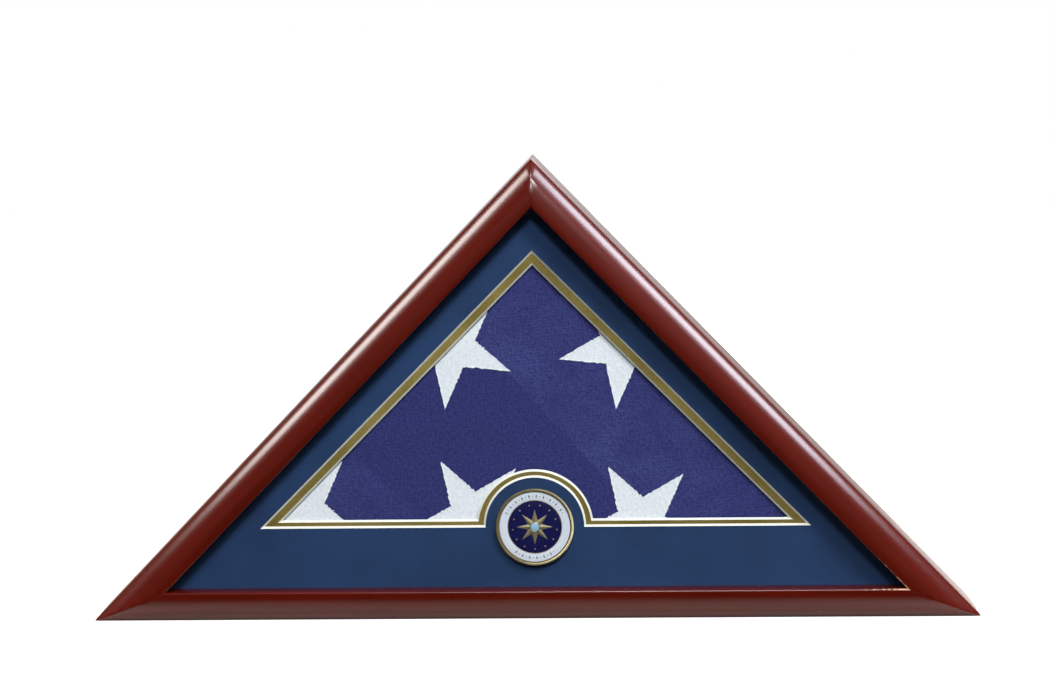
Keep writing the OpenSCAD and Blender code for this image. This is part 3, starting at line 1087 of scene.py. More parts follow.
@dataclass(frozen=True)
class WindowMats:
    """The blue mat and the gold one, with bevelled windows."""

    triangle: Triangle
    border_above_peak: float = 33 * MM
    moulding_face: float = 23.5 * MM
    lean_degrees: float = 0.76
    reveal: float = 5.4 * MM
    drop: float = 1.2 * MM
    collar_radius: float = 36.6 * MM
    arc_steps: int = 64

    def outline(self, shape: bmesh.types.BMesh, y: float, reveal: float, drop: float) -> list[bmesh.types.BMEdge]:
        """Draws the window: a triangle whose bottom rises round the medallion.

        Args:
            shape: the bmesh that gets the edges.
            y: the plane that they lie in.
            reveal: how far this window is drawn in from the blue mat's.
            drop: how far it sits below its middle.

        Returns:
            The outline's edges.
        """
        low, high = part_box("medallion_field")
        sill = (low.z + high.z) / 2
        lean = self.triangle.base_angle - math.radians(self.lean_degrees)
        top = self.triangle.peak(self.moulding_face) - self.border_above_peak - reveal / math.cos(lean)
        half = (top - sill - reveal) / math.tan(lean)
        radius = self.collar_radius + reveal
        foot = math.sqrt(radius ** 2 - reveal ** 2)
        sweep = 180 - 2 * math.degrees(math.asin(reveal / radius))
        before = set(shape.edges)
        pen = Pen(shape, (-half, y, sill + reveal - drop)).line((-foot, y, sill + reveal - drop))
        pen.arc((0, y, sill - drop), (0, 1, 0), sweep, self.arc_steps)
        pen.line((half, y, sill + reveal - drop), (0, y, top - drop))
        pen.join()
        return [e for e in shape.edges if e not in before]

    def rim(self, shape: bmesh.types.BMesh, y: float, inset: float) -> list[bmesh.types.BMEdge]:
        """Draws the mat's outer triangle.

        Args:
            shape: the bmesh that gets the edges.
            y: the plane that they lie in.
            inset: how far in from the case's sides they lie.

        Returns:
            The triangle's edges.
        """
        before = set(shape.edges)
        half = self.triangle.half_at(inset, inset)
        pen = Pen(shape, (-half, y, inset)).line((half, y, inset), (0, y, self.triangle.peak(inset)))
        pen.join()
        return [e for e in shape.edges if e not in before]

    def mat(self, node: str, paper: Finish, slot: str, reveal: float, drop: float) -> bpy.types.Object:
        """Builds one mat with a 45 degree bevel round its window.

        Args:
            node: the CAD node that it replaces.
            paper: the finish of its face.
            slot: the start of the piece's name.
            reveal: how far its window is drawn in.
            drop: how far its window sits low.

        Returns:
            The mat.
        """
        low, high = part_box(node)
        half_bevel = (high.y - low.y) / 2
        shape = bmesh.new()
        rims, windows = [], []
        for y, step in ((low.y, -half_bevel), (high.y, half_bevel)):
            rims += self.rim(shape, y, low.z)
            windows += self.outline(shape, y, reveal + step, drop)
            around = [e for e in rims + windows if abs(e.verts[0].co.y - y) < half_bevel]
            bmesh.ops.triangle_fill(shape, use_beauty=True, edges=around)
        for face in shape.faces:
            face.material_index = 0 if face.calc_center_median().y < low.y + half_bevel else 1
        for loops in (rims, windows):
            for face in bmesh.ops.bridge_loops(shape, edges=loops)["faces"]:
                face.material_index = 1
        bmesh.ops.recalc_face_normals(shape, faces=shape.faces[:])
        return settle(f"{slot}_panel", shape, [paper, WhiteCore()], stands_for=[node], smooth_to=20)

    def build(self) -> list[bpy.types.Object]:
        """Builds both mats.

        Returns:
            The mats, the outer one first.
        """
        return [
            self.mat("blue_mat", BLUE_PAPER, "blue_mat_board", 0.0, 0.0),
            self.mat("gold_mat", GOLD_PAPER, "gold_mat_board", self.reveal, self.drop),
        ]


# ---------------------------------------------------------------- the medallion


@dataclass(frozen=True)
class Medallion:
    """A struck and enamelled medallion with a roped rim and a plain rosette."""

    rope_beads: int = 116
    rope_slant: float = 38.0
    rope_radius: float = 1.25 * MM
    bead_length: float = 0.55 * MM
    border: float = 0.6 * MM
    crown: float = 0.12 * MM
    soft: float = 0.12 * MM
    # How far enamel sinks at its edge, and where it is level with the metal again.
    sunk: float = 0.05 * MM
    level: tuple[float, float] = (0.3 * MM, 0.01 * MM)
    mark_count: int = 54
    # The marks stand in two arcs, given in degrees from the top.
    mark_arcs: tuple[tuple[float, float], ...] = ((-66, 66), (140, 220))
    lozenge: tuple[float, float] = (0.75 * MM, 1.9 * MM)
    stop: tuple[float, float] = (0.5 * MM, 0.5 * MM)
    dot_count: int = 13
    dot_radius: float = 0.55 * MM
    dot_ring: float = 0.84
    rosette_points: int = 8
    rosette_edge: float = 0.14 * MM
    notch: float = 0.42
    dome_height: float = 0.62 * MM
    collar_wire: float = 0.28 * MM

    @property
    def centre(self) -> Vector:
        """Middle of the medallion, on the front of its metal."""
        low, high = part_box("medallion_field")
        return Vector(((low.x + high.x) / 2, low.y, (low.z + high.z) / 2))

    def turn(self, degrees: float) -> Matrix:
        """Places what is made at the top of a ring about the centre, a turn further on."""
        return Matrix.Translation(self.centre) @ Matrix.Rotation(math.radians(degrees), 4, "Y")

    def turned(self, points: Sequence[tuple[float, float]], closed: bool) -> bmesh.types.BMesh:
        """Turns a section about the medallion's axis.

        Args:
            points: the section as (radius, height above the metal's front).
            closed: whether the section is a ring's, apart from the axis.

        Returns:
            The turned shape, in its place.
        """
        shape = bmesh.new()
        centre = self.centre
        first, *rest = [centre + Vector((radius, -height, 0)) for radius, height in points]
        pen = Pen(shape, first).line(*rest)
        if closed:
            pen.join()
        bmesh.ops.spin(
            shape, geom=shape.verts[:] + shape.edges[:], cent=centre, axis=(0, 1, 0),
            angle=2 * math.pi, steps=96, use_merge=True,
        )
        bmesh.ops.remove_doubles(shape, verts=shape.verts, dist=0.001 * MM)
        bmesh.ops.recalc_face_normals(shape, faces=shape.faces[:])
        return shape

    def plate(self) -> bpy.types.Object:
        """Builds the plate with its two wells and the rope round its edge.

        Returns:
            The plate.
        """
        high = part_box("medallion_plate")[1]
        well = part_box("medallion_ring")[1]
        field_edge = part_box("medallion_field")[1].x
        inner = field_edge + self.border
        edge = high.x - self.rope_radius
        floor = self.centre.y - well.y
        soft = self.soft
        shape = self.turned([
            (0, self.centre.y - high.y), (edge, self.centre.y - high.y), (edge, -soft), (edge - soft, 0),
            (well.x + soft, 0), (well.x, -soft), (well.x, floor), (inner, floor), (inner, -soft),
            (inner - soft, 0), (field_edge + soft, 0), (field_edge, -soft), (field_edge, floor), (0, floor),
        ], closed=False)
        plain = set(shape.faces)
        bead_height = self.centre + Vector((edge, -self.rope_radius * 0.5, 0))
        slant = Matrix.Rotation(math.radians(self.rope_slant), 4, "X")
        size = Matrix.Diagonal((self.rope_radius * 0.98, self.rope_radius * 1.15, self.bead_length, 1.0))
        for bead in range(self.rope_beads):
            about = self.turn(360 * bead / self.rope_beads) @ Matrix.Translation(-self.centre)
            place = about @ Matrix.Translation(bead_height) @ slant @ size
            bmesh.ops.create_uvsphere(shape, u_segments=8, v_segments=6, radius=1.0, matrix=place)
        for face in shape.faces:
            away = (face.calc_center_median() - self.centre).length
            face.material_index = 1 if face in plain and away > well.x else 0
        return settle(
            "medallion_body", shape, [GILT, DARK_GILT], stands_for=["medallion_plate"]
        )

    def ring(self) -> bpy.types.Object:
        """Builds the white enamel ring with its row of small gilt marks.

        Returns:
            The ring.
        """
        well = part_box("medallion_ring")[1]
        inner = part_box("medallion_field")[1].x + self.border
        floor = self.centre.y - well.y
        middle = (well.x + inner) / 2
        in_from_edge, level = self.level
        shape = self.turned([
            (inner, floor), (inner, -self.sunk), (inner + in_from_edge, level), (middle, self.crown * 0.4),
            (well.x - in_from_edge, level), (well.x, -self.sunk), (well.x, floor),
        ], closed=True)
        enamel = set(shape.faces)
        for number in range(self.mark_count):
            degrees = 360 * (number + 0.5) / self.mark_count
            if not any(start < way < end for start, end in self.mark_arcs for way in (degrees, degrees - 360)):
                continue
            size, corners = (self.stop, 8) if number % 2 else (self.lozenge, 4)
            flat = Matrix.Rotation(math.pi / 2, 4, "X") @ Matrix.Diagonal((*size, 1.0, 1.0))
            place = self.turn(degrees) @ Matrix.Translation((0, -self.crown * 0.4, middle))
            bmesh.ops.create_cone(
                shape, segments=corners, radius1=1.0, radius2=0.5, depth=self.crown * 2,
                cap_ends=True, matrix=place @ flat,
            )
        for face in shape.faces:
            face.material_index = 0 if face in enamel else 1
        return settle(
            "medallion_white_ring", shape, [WHITE_ENAMEL, DARK_GILT], stands_for=["medallion_ring"],
        )

    def field(self) -> bpy.types.Object:
        """Builds the slightly domed navy enamel in the middle.

        Returns:
            The field.
        """
        low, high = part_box("medallion_field")
        floor = low.y - high.y
        in_from_edge, level = self.level
        shape = self.turned([
            (0, floor), (high.x, floor), (high.x, -self.sunk), (high.x - in_from_edge, level),
            (high.x * 0.6, self.crown * 0.5), (0, self.crown * 0.7),
        ], closed=False)
        enamel = set(shape.faces)
        for dot in range(self.dot_count):
            out = Matrix.Translation((0, -self.crown * 0.3, high.x * self.dot_ring))
            place = self.turn(360 * (dot + 0.5) / self.dot_count) @ out
            bmesh.ops.create_uvsphere(shape, u_segments=10, v_segments=6, radius=self.dot_radius, matrix=place)
        for face in shape.faces:
            face.material_index = 0 if face in enamel else 1
        return settle(
            "medallion_navy_field", shape, [NAVY_ENAMEL, GILT], stands_for=["medallion_field"],
        )

    def rosette(self) -> bpy.types.Object:
        """Builds the faceted rosette with its domed enamel middle.

        Returns:
            The rosette.
        """
        low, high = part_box("medallion_rosette")
        reach = high.x
        height = (high.y - low.y) * 0.66
        shape = bmesh.new()
        bmesh.ops.create_circle(
            shape, cap_ends=True, cap_tris=True, segments=2 * self.rosette_points, radius=reach,
        )
        for vert in shape.verts:
            if vert.co.length < 0.01 * MM:
                vert.co.z = height
                continue
            turn = round(math.degrees(math.atan2(vert.co.y, vert.co.x)) / (180 / self.rosette_points))
            if turn % 2:
                vert.co *= self.notch
            vert.co.z = self.rosette_edge
        skirt = bmesh.ops.extrude_edge_only(shape, edges=[e for e in shape.edges if e.is_boundary])
        for item in skirt["geom"]:
            if isinstance(item, bmesh.types.BMVert):
                item.co.z = -self.sunk
        bmesh.ops.edgeloop_fill(shape, edges=[e for e in shape.edges if e.is_boundary])
        bmesh.ops.recalc_face_normals(shape, faces=shape.faces[:])
        gilt = set(shape.faces)
        radius = reach * 0.25
        dome = Matrix.Diagonal((radius, radius, self.dome_height, 1.0))
        bmesh.ops.create_uvsphere(
            shape, u_segments=32, v_segments=16, radius=1.0,
            matrix=Matrix.Translation((0, 0, height * 0.55)) @ dome,
        )
        for face in shape.faces:
            if face not in gilt:
                face.material_index = 1
        collar = bmesh.new()
        tube = Pen(collar, (radius + self.collar_wire, 0, height * 0.6))
        tube.arc((radius, 0, height * 0.6), (0, 1, 0), 360, 10)
        bmesh.ops.remove_doubles(collar, verts=collar.verts, dist=0.001 * MM)
        bmesh.ops.spin(
            collar, geom=collar.verts[:] + collar.edges[:], cent=(0, 0, 0), axis=(0, 0, 1),
            angle=2 * math.pi, steps=48, use_merge=True,
        )
        bmesh.ops.recalc_face_normals(collar, faces=collar.faces[:])
        pour(collar, shape)
        shape.transform(Matrix.Translation(self.centre) @ Matrix.Rotation(math.pi / 2, 4, "X"))
        return settle(
            "medallion_gilt_rosette", shape, [GILT, PALE_ENAMEL], stands_for=["medallion_rosette"],
            smooth_to=12,
        )

    def build(self) -> list[bpy.types.Object]:
        """Builds the medallion and its adhesive pad.

        Returns:
            The pad and the medallion's four parts.
        """
        pad = settle(
            "medallion_foam_pad", softened("medallion_pad", 0.15 * MM), [FOAM],
            stands_for=["medallion_pad"],
        )
        return [pad, self.plate(), self.ring(), self.field(), self.rosette()]


# ---------------------------------------------------------------- the flag


@dataclass(frozen=True)
class FoldedFlag:
    """A flag folded lengthwise twice and then into triangles."""

    triangle: Triangle
    flat: tuple[float, float] = (1.524, 2.896)
    plies: int = 61
    cloth: float = 0.35 * MM
    inner_cell: float = 17 * MM
    front_cell: float = 2.4 * MM
    leg_inset: float = 26.2 * MM
    corner: float = 4 * MM
    ragged: float = 2.2 * MM
    wander: float = 0.35 * MM
    billow: float = 1.1 * MM
    edge_roll: float = 18 * MM
    weave_turn: float = 47.9
    # A point on each of the two old folds past which the front gets painted sheen, and the fold's lean in degrees.
    sheen_folds: tuple[tuple[float, float, float], ...] = (
        (-16.9 * MM, 176.2 * MM, 47.8), (-127 * MM, 119 * MM, 43.4),
    )
    sheen_fade: float = 150 * MM
    seed: int = 7

    def planes(self, insets: dict[Side, float]) -> list[tuple[Vector, Vector]]:
        """Planes that trim a ply: its three sides and its three blunt corners.

        Args:
            insets: how far in each side lies.

        Returns:
            Each plane's point and outward direction.
        """
        found = [self.triangle.edge_plane(side, inset) for side, inset in insets.items()]
        points = self.corners(insets)
        middle = sum(points, Vector()) / 3
        for point in points:
            out = (point - middle).normalized()
            found.append((point - out * self.corner, out))
        return found

    def corners(self, insets: dict[Side, float]) -> list[Vector]:
        """Corners of the triangle that lies the given insets in, in the plane y = 0.

        Args:
            insets: how far in each side lies.

        Returns:
            The left, the right and the top corner.
        """
        slope = math.tan(self.triangle.base_angle)
        right, left, base = insets[Side.RIGHT], insets[Side.LEFT], insets[Side.BOTTOM]
        at_right = self.triangle.half_at(right, base)
        at_left = -self.triangle.half_at(left, base)
        peak_right, peak_left = self.triangle.peak(right), self.triangle.peak(left)
        x = (peak_right - peak_left) / (2 * slope)
        return [Vector((at_left, 0, base)), Vector((at_right, 0, base)), Vector((x, 0, peak_right - x * slope))]

    def ply(self, y: float, insets: dict[Side, float], cell: float) -> bmesh.types.BMesh:
        """Lays one triangle of cloth.

        Args:
            y: its depth in the frame.
            insets: how far in each of its sides lies.
            cell: the size of its faces.

        Returns:
            The ply.
        """
        wide, tall = self.triangle.half_width, self.triangle.height / 2
        shape = bmesh.new()
        bmesh.ops.create_grid(
            shape, x_segments=round(2 * wide / cell), y_segments=round(2 * tall / cell), size=1.0,
            matrix=Matrix.Translation((0, y, tall)) @ Matrix.Rotation(math.pi / 2, 4, "X")
            @ Matrix.Diagonal((wide, tall, 1.0, 1.0)),
        )
        for point, outward in self.planes(insets):
            trim(shape, point, outward)
        return shape

    def fold(self, shape: bmesh.types.BMesh, side: Side, inset: float, y: float, spacing: float) -> None:
        """Turns a ply's cloth over along one side, to meet the next ply.

        Args:
            shape: the ply.
            side: the side that it is folded along.
            inset: how far in that side lies.
            y: the ply's depth.
            spacing: the distance to the next ply.
        """
        place = self.triangle.onto(side)
        to_side = place.inverted()
        edges = [
            e for e in shape.edges
            if e.is_boundary and all(abs((to_side @ v.co).z - inset) < 0.01 * MM for v in e.verts)
        ]
        middle = place @ Vector((0, 0, inset))
        middle.y = y + spacing / 2
        along = place.to_3x3() @ Vector((1, 0, 0))
        bmesh.ops.spin(shape, geom=edges, cent=middle, axis=along, angle=math.pi, steps=4)

    def build(self) -> bpy.types.Object:
        """Builds the whole stack of plies, its folds and its soft front.

        Returns:
            The flag.
        """
        draw = random.Random(self.seed)
        low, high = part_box("folded_flag")
        start = low.y + self.cloth
        spacing = (high.y - low.y - 2 * self.cloth) / (self.plies - 1)
        least = {
            Side.BOTTOM: low.z + self.cloth + spacing / 2, Side.RIGHT: self.leg_inset, Side.LEFT: self.leg_inset,
        }
        turns = [Side.BOTTOM, Side.RIGHT, Side.BOTTOM, Side.LEFT]
        insets = [{side: least[side] + draw.random() * self.ragged for side in Side} for _ in range(self.plies)]
        stack = bmesh.new()
        for number in range(self.plies):
            y = start + number * spacing
            cell = self.front_cell if number == 0 else self.inner_cell
            ply = self.ply(y, insets[number], cell)
            if number + 1 < self.plies:
                side = turns[number % len(turns)]
                insets[number + 1][side] = insets[number][side]
                self.fold(ply, side, insets[number][side], y, spacing)
            pour(ply, stack)
        bmesh.ops.remove_doubles(stack, verts=stack.verts, dist=0.001 * MM)
        bmesh.ops.split_edges(stack, edges=[e for e in stack.edges if len(e.link_faces) > 2])
        self.map_weave(stack, start)
        self.soften(stack, start, high.y)
        bmesh.ops.recalc_face_normals(stack, faces=stack.faces[:])
        flag = settle(
            "navy_folded_flag", stack, [NAVY_COTTON], stands_for=["folded_flag"],
            smooth_to=180,
        )
        thick = flag.modifiers.new("cloth", "SOLIDIFY")
        thick.thickness = self.cloth
        thick.offset = 0.0
        return flag

    def map_weave(self, shape: bmesh.types.BMesh, front: float) -> None:
        """Lays the weave's map along the cloth's own threads, and marks where the front gets painted sheen.

        Args:
            shape: the stack of plies, still flat.
            front: the front ply's depth.
        """
        lay_weave(shape, self.weave_turn)
        sheen_mask = shape.verts.layers.float.new(WEAR_AND_SHEEN)
        for vert in shape.verts:
            # The front gets the mask for painted sheen; the plies behind it get an even middle value.
            vert[sheen_mask] = self.brushed(vert.co.x, vert.co.z) if vert.co.y < front + 0.1 * MM else 0.5

    def brushed(self, x: float, z: float) -> float:
        """How much painted sheen a place on the front gets, paler past the two old folds.

        Args:
            x: the place's distance right of the middle.
            z: its height.

        Returns:
            A share from 0 to 1.
        """
        upper, lower = (
            (x - fold_x) * math.sin(math.radians(lean)) + (z - fold_z) * math.cos(math.radians(lean))
            for fold_x, fold_z, lean in self.sheen_folds
        )
        fading = 1 - 0.5 * clamped(upper / self.sheen_fade)
        return max(clamped(upper / (1.6 * MM) + 0.5) * fading, clamped(0.5 - lower / (2.5 * MM)) * 0.75)

    def inside(self, x: float, z: float) -> float:
        """How far a place is from the folded edges.

        Args:
            x: the place's distance right of the middle.
            z: its height.

        Returns:
            A share from 0 on them to 1 well inside.
        """
        edge = min(z - 21 * MM, (self.triangle.peak(26 * MM) - z) * 0.7 - abs(x) * 0.7)
        share = clamped(edge / self.edge_roll)
        return share * share * (3 - 2 * share)

    def sag(self, x: float, z: float) -> float:
        """How far the outer ply sinks towards the others at a place.

        Args:
            x: the place's distance right of the middle.
            z: its height.

        Returns:
            The depth in metres.
        """
        swell = noise.noise(Vector((x / 0.055, 3.1, z / 0.055)))
        ripple = noise.noise(Vector((x / 0.019, 9.7, z / 0.019)))
        return (0.75 + 0.5 * (swell + 0.45 * ripple)) * self.billow * self.inside(x, z)

    def soften(self, shape: bmesh.types.BMesh, front: float, back: float) -> None:
        """Lets the stack lie as cloth does: wandering edges and a gently uneven face.

        Args:
            shape: the stack of plies.
            front: the front ply's depth.
            back: the depth of the flag's back.
        """
        middle = (front + back) / 2
        for vert in shape.verts:
            x, y, z = vert.co
            share = max(0.0, 1 - abs(y - (front if y < middle else back)) / (back - front) * 3)
            push = self.sag(x, z) * share
            vert.co.y += push if y < middle else -push
            wander = self.wander * (1 - self.inside(x, z))
            vert.co.x += wander * noise.noise(Vector((x / 0.03, y / 0.0016, z / 0.03)))
            vert.co.z += wander * max(0.0, noise.noise(Vector((z / 0.03, y / 0.0016, x / 0.03))))


@dataclass(frozen=True)
class FlagStars:
    """White cotton stars sewn on the flag's front with a close zigzag edge."""

    triangle: Triangle
    flag: FoldedFlag
    diameter: float = 94 * MM
    column_step: float = 96 * MM
    row_step: float = 82.3 * MM
    turn: float = 47.9
    first: tuple[float, float] = (-47.6 * MM, 75.2 * MM)
    reach: int = 6
    # How far the cloth's folding has pulled some stars from the even pattern.
    strays_mm: dict[tuple[int, int], tuple[float, float, float]] = field(default_factory=lambda: {
        (-1, 1): (4.1, 0, -0.4), (0, 2): (1.9, 0, 1.9), (-1, -1): (2.6, 0, 2.6), (0, 0): (2.6, 0, -0.4),
        (1, 1): (-1.9, 0, -1.9),
    })
    leg_inset: float = 30.3 * MM
    lift: float = 0.3 * MM
    stitch: float = 0.7 * MM
    tooth: float = 1.6 * MM
    raised_rim: float = 0.12 * MM
    cells: int = 28
    cloth: float = 0.35 * MM
    # How far the stars' own threads are turned from the flag's, in degrees.
    cloth_turn: float = 20.0

    def places(self) -> list[Vector]:
        """Middles of the stars that reach the folded triangle.

        Returns:
            The middles, in the plane y = 0.
        """
        along = Vector((math.sin(math.radians(self.turn)), 0, -math.cos(math.radians(self.turn))))
        up = Vector((math.cos(math.radians(self.turn)), 0, math.sin(math.radians(self.turn))))
        first = Vector((self.first[0], 0, self.first[1]))
        low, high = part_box("flag_stars")
        found = []
        for column in range(-self.reach, self.reach + 1):
            for row in range(-self.reach, self.reach + 1):
                stray = Vector(self.strays_mm.get((column, row), (0, 0, 0))) * MM
                middle = first + along * column * self.column_step + up * row * self.row_step + stray
                if (column + row) % 2 == 0 and low.z - self.diameter / 2 < middle.z < high.z + self.diameter / 2:
                    found.append(middle)
        return found

    def star(self, middle: Vector, y: float) -> bmesh.types.BMesh:
        """Cuts one star, with small teeth along its edge where the stitches bite.

        Args:
            middle: the star's middle.
            y: the depth of its face.

        Returns:
            The star's face, before it gets its thickness.
        """
        shape = bmesh.new()
        inner = math.sin(math.radians(18)) / math.sin(math.radians(54))
        bmesh.ops.create_circle(shape, cap_ends=True, cap_tris=True, segments=10, radius=self.diameter / 2)
        for vert in shape.verts:
            turn = round(math.degrees(math.atan2(vert.co.x, vert.co.y)) / 36)
            if turn % 2:
                vert.co *= inner
        bmesh.ops.subdivide_edges(shape, edges=shape.edges[:], cuts=self.cells, use_grid_fill=True)
        for vert in shape.verts:
            if vert.is_boundary:
                tooth = noise.noise(vert.co / self.stitch * 0.71 + Vector((5.5, 0, 0)))
                vert.co += vert.co.normalized() * tooth * self.tooth
        stand = Matrix.Translation((middle.x, y, middle.z)) @ Matrix.Rotation(math.pi / 2, 4, "X")
        shape.transform(stand @ Matrix.Rotation(math.radians(self.turn - 90), 4, "Z"))
        return shape

    def build(self) -> bpy.types.Object:
        """Builds every star that shows on the folded flag.

        Returns:
            The stars.
        """
        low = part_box("flag_stars")[0]
        sewn = bmesh.new()
        folds = {Side.BOTTOM: low.z, Side.RIGHT: self.leg_inset, Side.LEFT: self.leg_inset}
        for middle in self.places():
            star = self.star(middle, low.y + self.lift)
            for side, inset in folds.items():
                trim(star, *self.triangle.edge_plane(side, inset))
            if star.faces:
                self.finish_star(star)
            pour(star, sewn)
        return settle(
            "sewn_stars", sewn, [WHITE_COTTON], stands_for=["flag_stars"],
            smooth_to=60,
        )

    def finish_star(self, star: bmesh.types.BMesh) -> None:
        """Gives a star its stitched rim, its puckers, its thickness and its map.

        Args:
            star: the star's face, cut to the flag's outline.
        """
        sheen_mask = star.verts.layers.float.new(WEAR_AND_SHEEN)
        near = {v for e in star.edges if any(u.is_boundary for u in e.verts) for v in e.verts}
        for vert in star.verts:
            pucker = noise.noise(Vector((vert.co.x / 0.016, 1.3, vert.co.z / 0.016)))
            crease = noise.noise(Vector((vert.co.x / 0.006, 4.1, vert.co.z / 0.02)))
            vert.co.y += self.flag.sag(vert.co.x, vert.co.z) + 0.08 * MM * pucker + 0.05 * MM * crease
            # Painted sheen: the stitched rim is marked to come out paler than the star's middle.
            vert[sheen_mask] = 1.2 if vert in near else 0.6
            if vert in near:
                vert.co.y -= self.raised_rim
        lay_weave(star, self.turn + self.cloth_turn)
        bmesh.ops.recalc_face_normals(star, faces=star.faces[:])
        if star.faces[:][0].normal.y > 0:
            bmesh.ops.reverse_faces(star, faces=star.faces[:])
        grown = bmesh.ops.extrude_face_region(star, geom=star.faces[:], use_keep_orig=True)
        for vert in grown["geom"]:
            if isinstance(vert, bmesh.types.BMVert):
                vert.co.y += self.cloth
        bmesh.ops.recalc_face_normals(star, faces=star.faces[:])


# ---------------------------------------------------------------- the back


@dataclass(frozen=True)
class Fitting:
    """A small part of the back that keeps its CAD shape, with softer edges."""

    name: str
    node: str
    finish: Finish
    slot: str
    ease: float
    steps: int = 2
    body: str = "case"
    smooth_to: float = 35.0

    def build(self) -> bpy.types.Object:
        """Builds the part."""
        return settle(
            self.name, softened(self.node, self.ease, self.steps), [self.finish], stands_for=[self.node],
            body=self.body, smooth_to=self.smooth_to,
        )


@dataclass(frozen=True)
class BackFittings:
    """The loose panel, its turn buttons, the hangers and their screws."""

    def parts(self) -> list[Fitting]:
        """Lists the fittings in the order that they are fixed.

        Returns:
            The fittings.
        """
        brass, zinc = (BRASS, "brass_plate"), (ZINC, "zinc_plate")
        parts = [Fitting("hardboard_back", "back_panel", Hardboard(), "hardboard", 0.35 * MM, body="back_panel")]
        for node in sorted(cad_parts):
            if node.startswith("turn_button_") and node != "turn_button_screws":
                name = node.replace("turn_button", "brass_button")
                parts.append(Fitting(name, node, *brass, 0.3 * MM, body=node))
        parts.append(Fitting("brass_screws", "turn_button_screws", *brass, 0.1 * MM, 1))
        for side in ("left", "right"):
            ring = f"{side}_hanger_ring"
            parts.append(Fitting(f"{side}_zinc_strap", f"{side}_hanger_strap", *zinc, 0.2 * MM))
            parts.append(Fitting(f"{side}_wire_ring", ring, *zinc, 0.0, body=ring, smooth_to=50))
        parts.append(Fitting("zinc_screws", "hanger_screws", *zinc, 0.1 * MM, 1))
        return parts

    def build(self) -> list[bpy.types.Object]:
        """Builds everything that is fixed to the back.

        Returns:
            The fittings' pieces.
        """
        made = [part.build() for part in self.parts()]
        dress_node("corner_nails", ZINC)
        return made


# ---------------------------------------------------------------- the studio


@dataclass(frozen=True)
class SoftBox:
    """A soft light: where its middle hangs, the point it faces, its size, brightness and colour.

    The radiance is its brightness to look at, as a multiple of white.
    """

    name: str
    at: tuple[float, float, float]
    aim: tuple[float, float, float]
    size: tuple[float, float]
    radiance: float
    colour: str = "ffffff"

    def hang(self) -> None:
        """Hangs the light, unseen by the camera."""
        data = bpy.data.lights.new(self.name, "AREA")
        data.shape = "RECTANGLE"
        data.size, data.size_y = self.size
        data.energy = self.radiance * math.pi * self.size[0] * self.size[1]
        data.color = linear(self.colour)[:3]
        box = bpy.data.objects.new(self.name, data)
        way = Vector(self.aim) - Vector(self.at)
        box.matrix_world = Matrix.Translation(self.at) @ way.to_track_quat("-Z", "Y").to_matrix().to_4x4()
        box.visible_camera = False
        bpy.context.scene.collection.objects.link(box)


# The keys and halos are mirrored by the mouldings' crowns; the rest light the front and back.
SOFT_BOXES = (
    SoftBox("key_right", (1.06, 0.03, 0.97), (0.1, 0, 0.2), (0.52, 0.55), 17.0, "f0f2ff"),
    SoftBox("halo_right", (1.2, -0.08, 1.16), (0.1, 0, 0.2), (1.0, 0.5), 2.6, "f4f2ff"),
    SoftBox("key_left", (-1.06, -0.02, 0.93), (-0.1, 0, 0.2), (0.46, 0.55), 15.0, "fff8f2"),
    SoftBox("halo_left", (-1.2, -0.1, 1.08), (-0.1, 0, 0.2), (0.95, 0.5), 2.2, "fff8f2"),
    SoftBox("front", (0.1, -2.1, 1.6), (0, 0, 0.15), (0.4, 0.5), 57.0, "f9faff"),
    SoftBox("high_right", (0.9, -1.6, 2.1), (0, 0, 0.15), (0.8, 0.8), 29.0, "f9faff"),
    SoftBox("back_fill", (0.0, 2.6, 1.3), (0, 0, 0.15), (2.4, 1.2), 1.2),
)


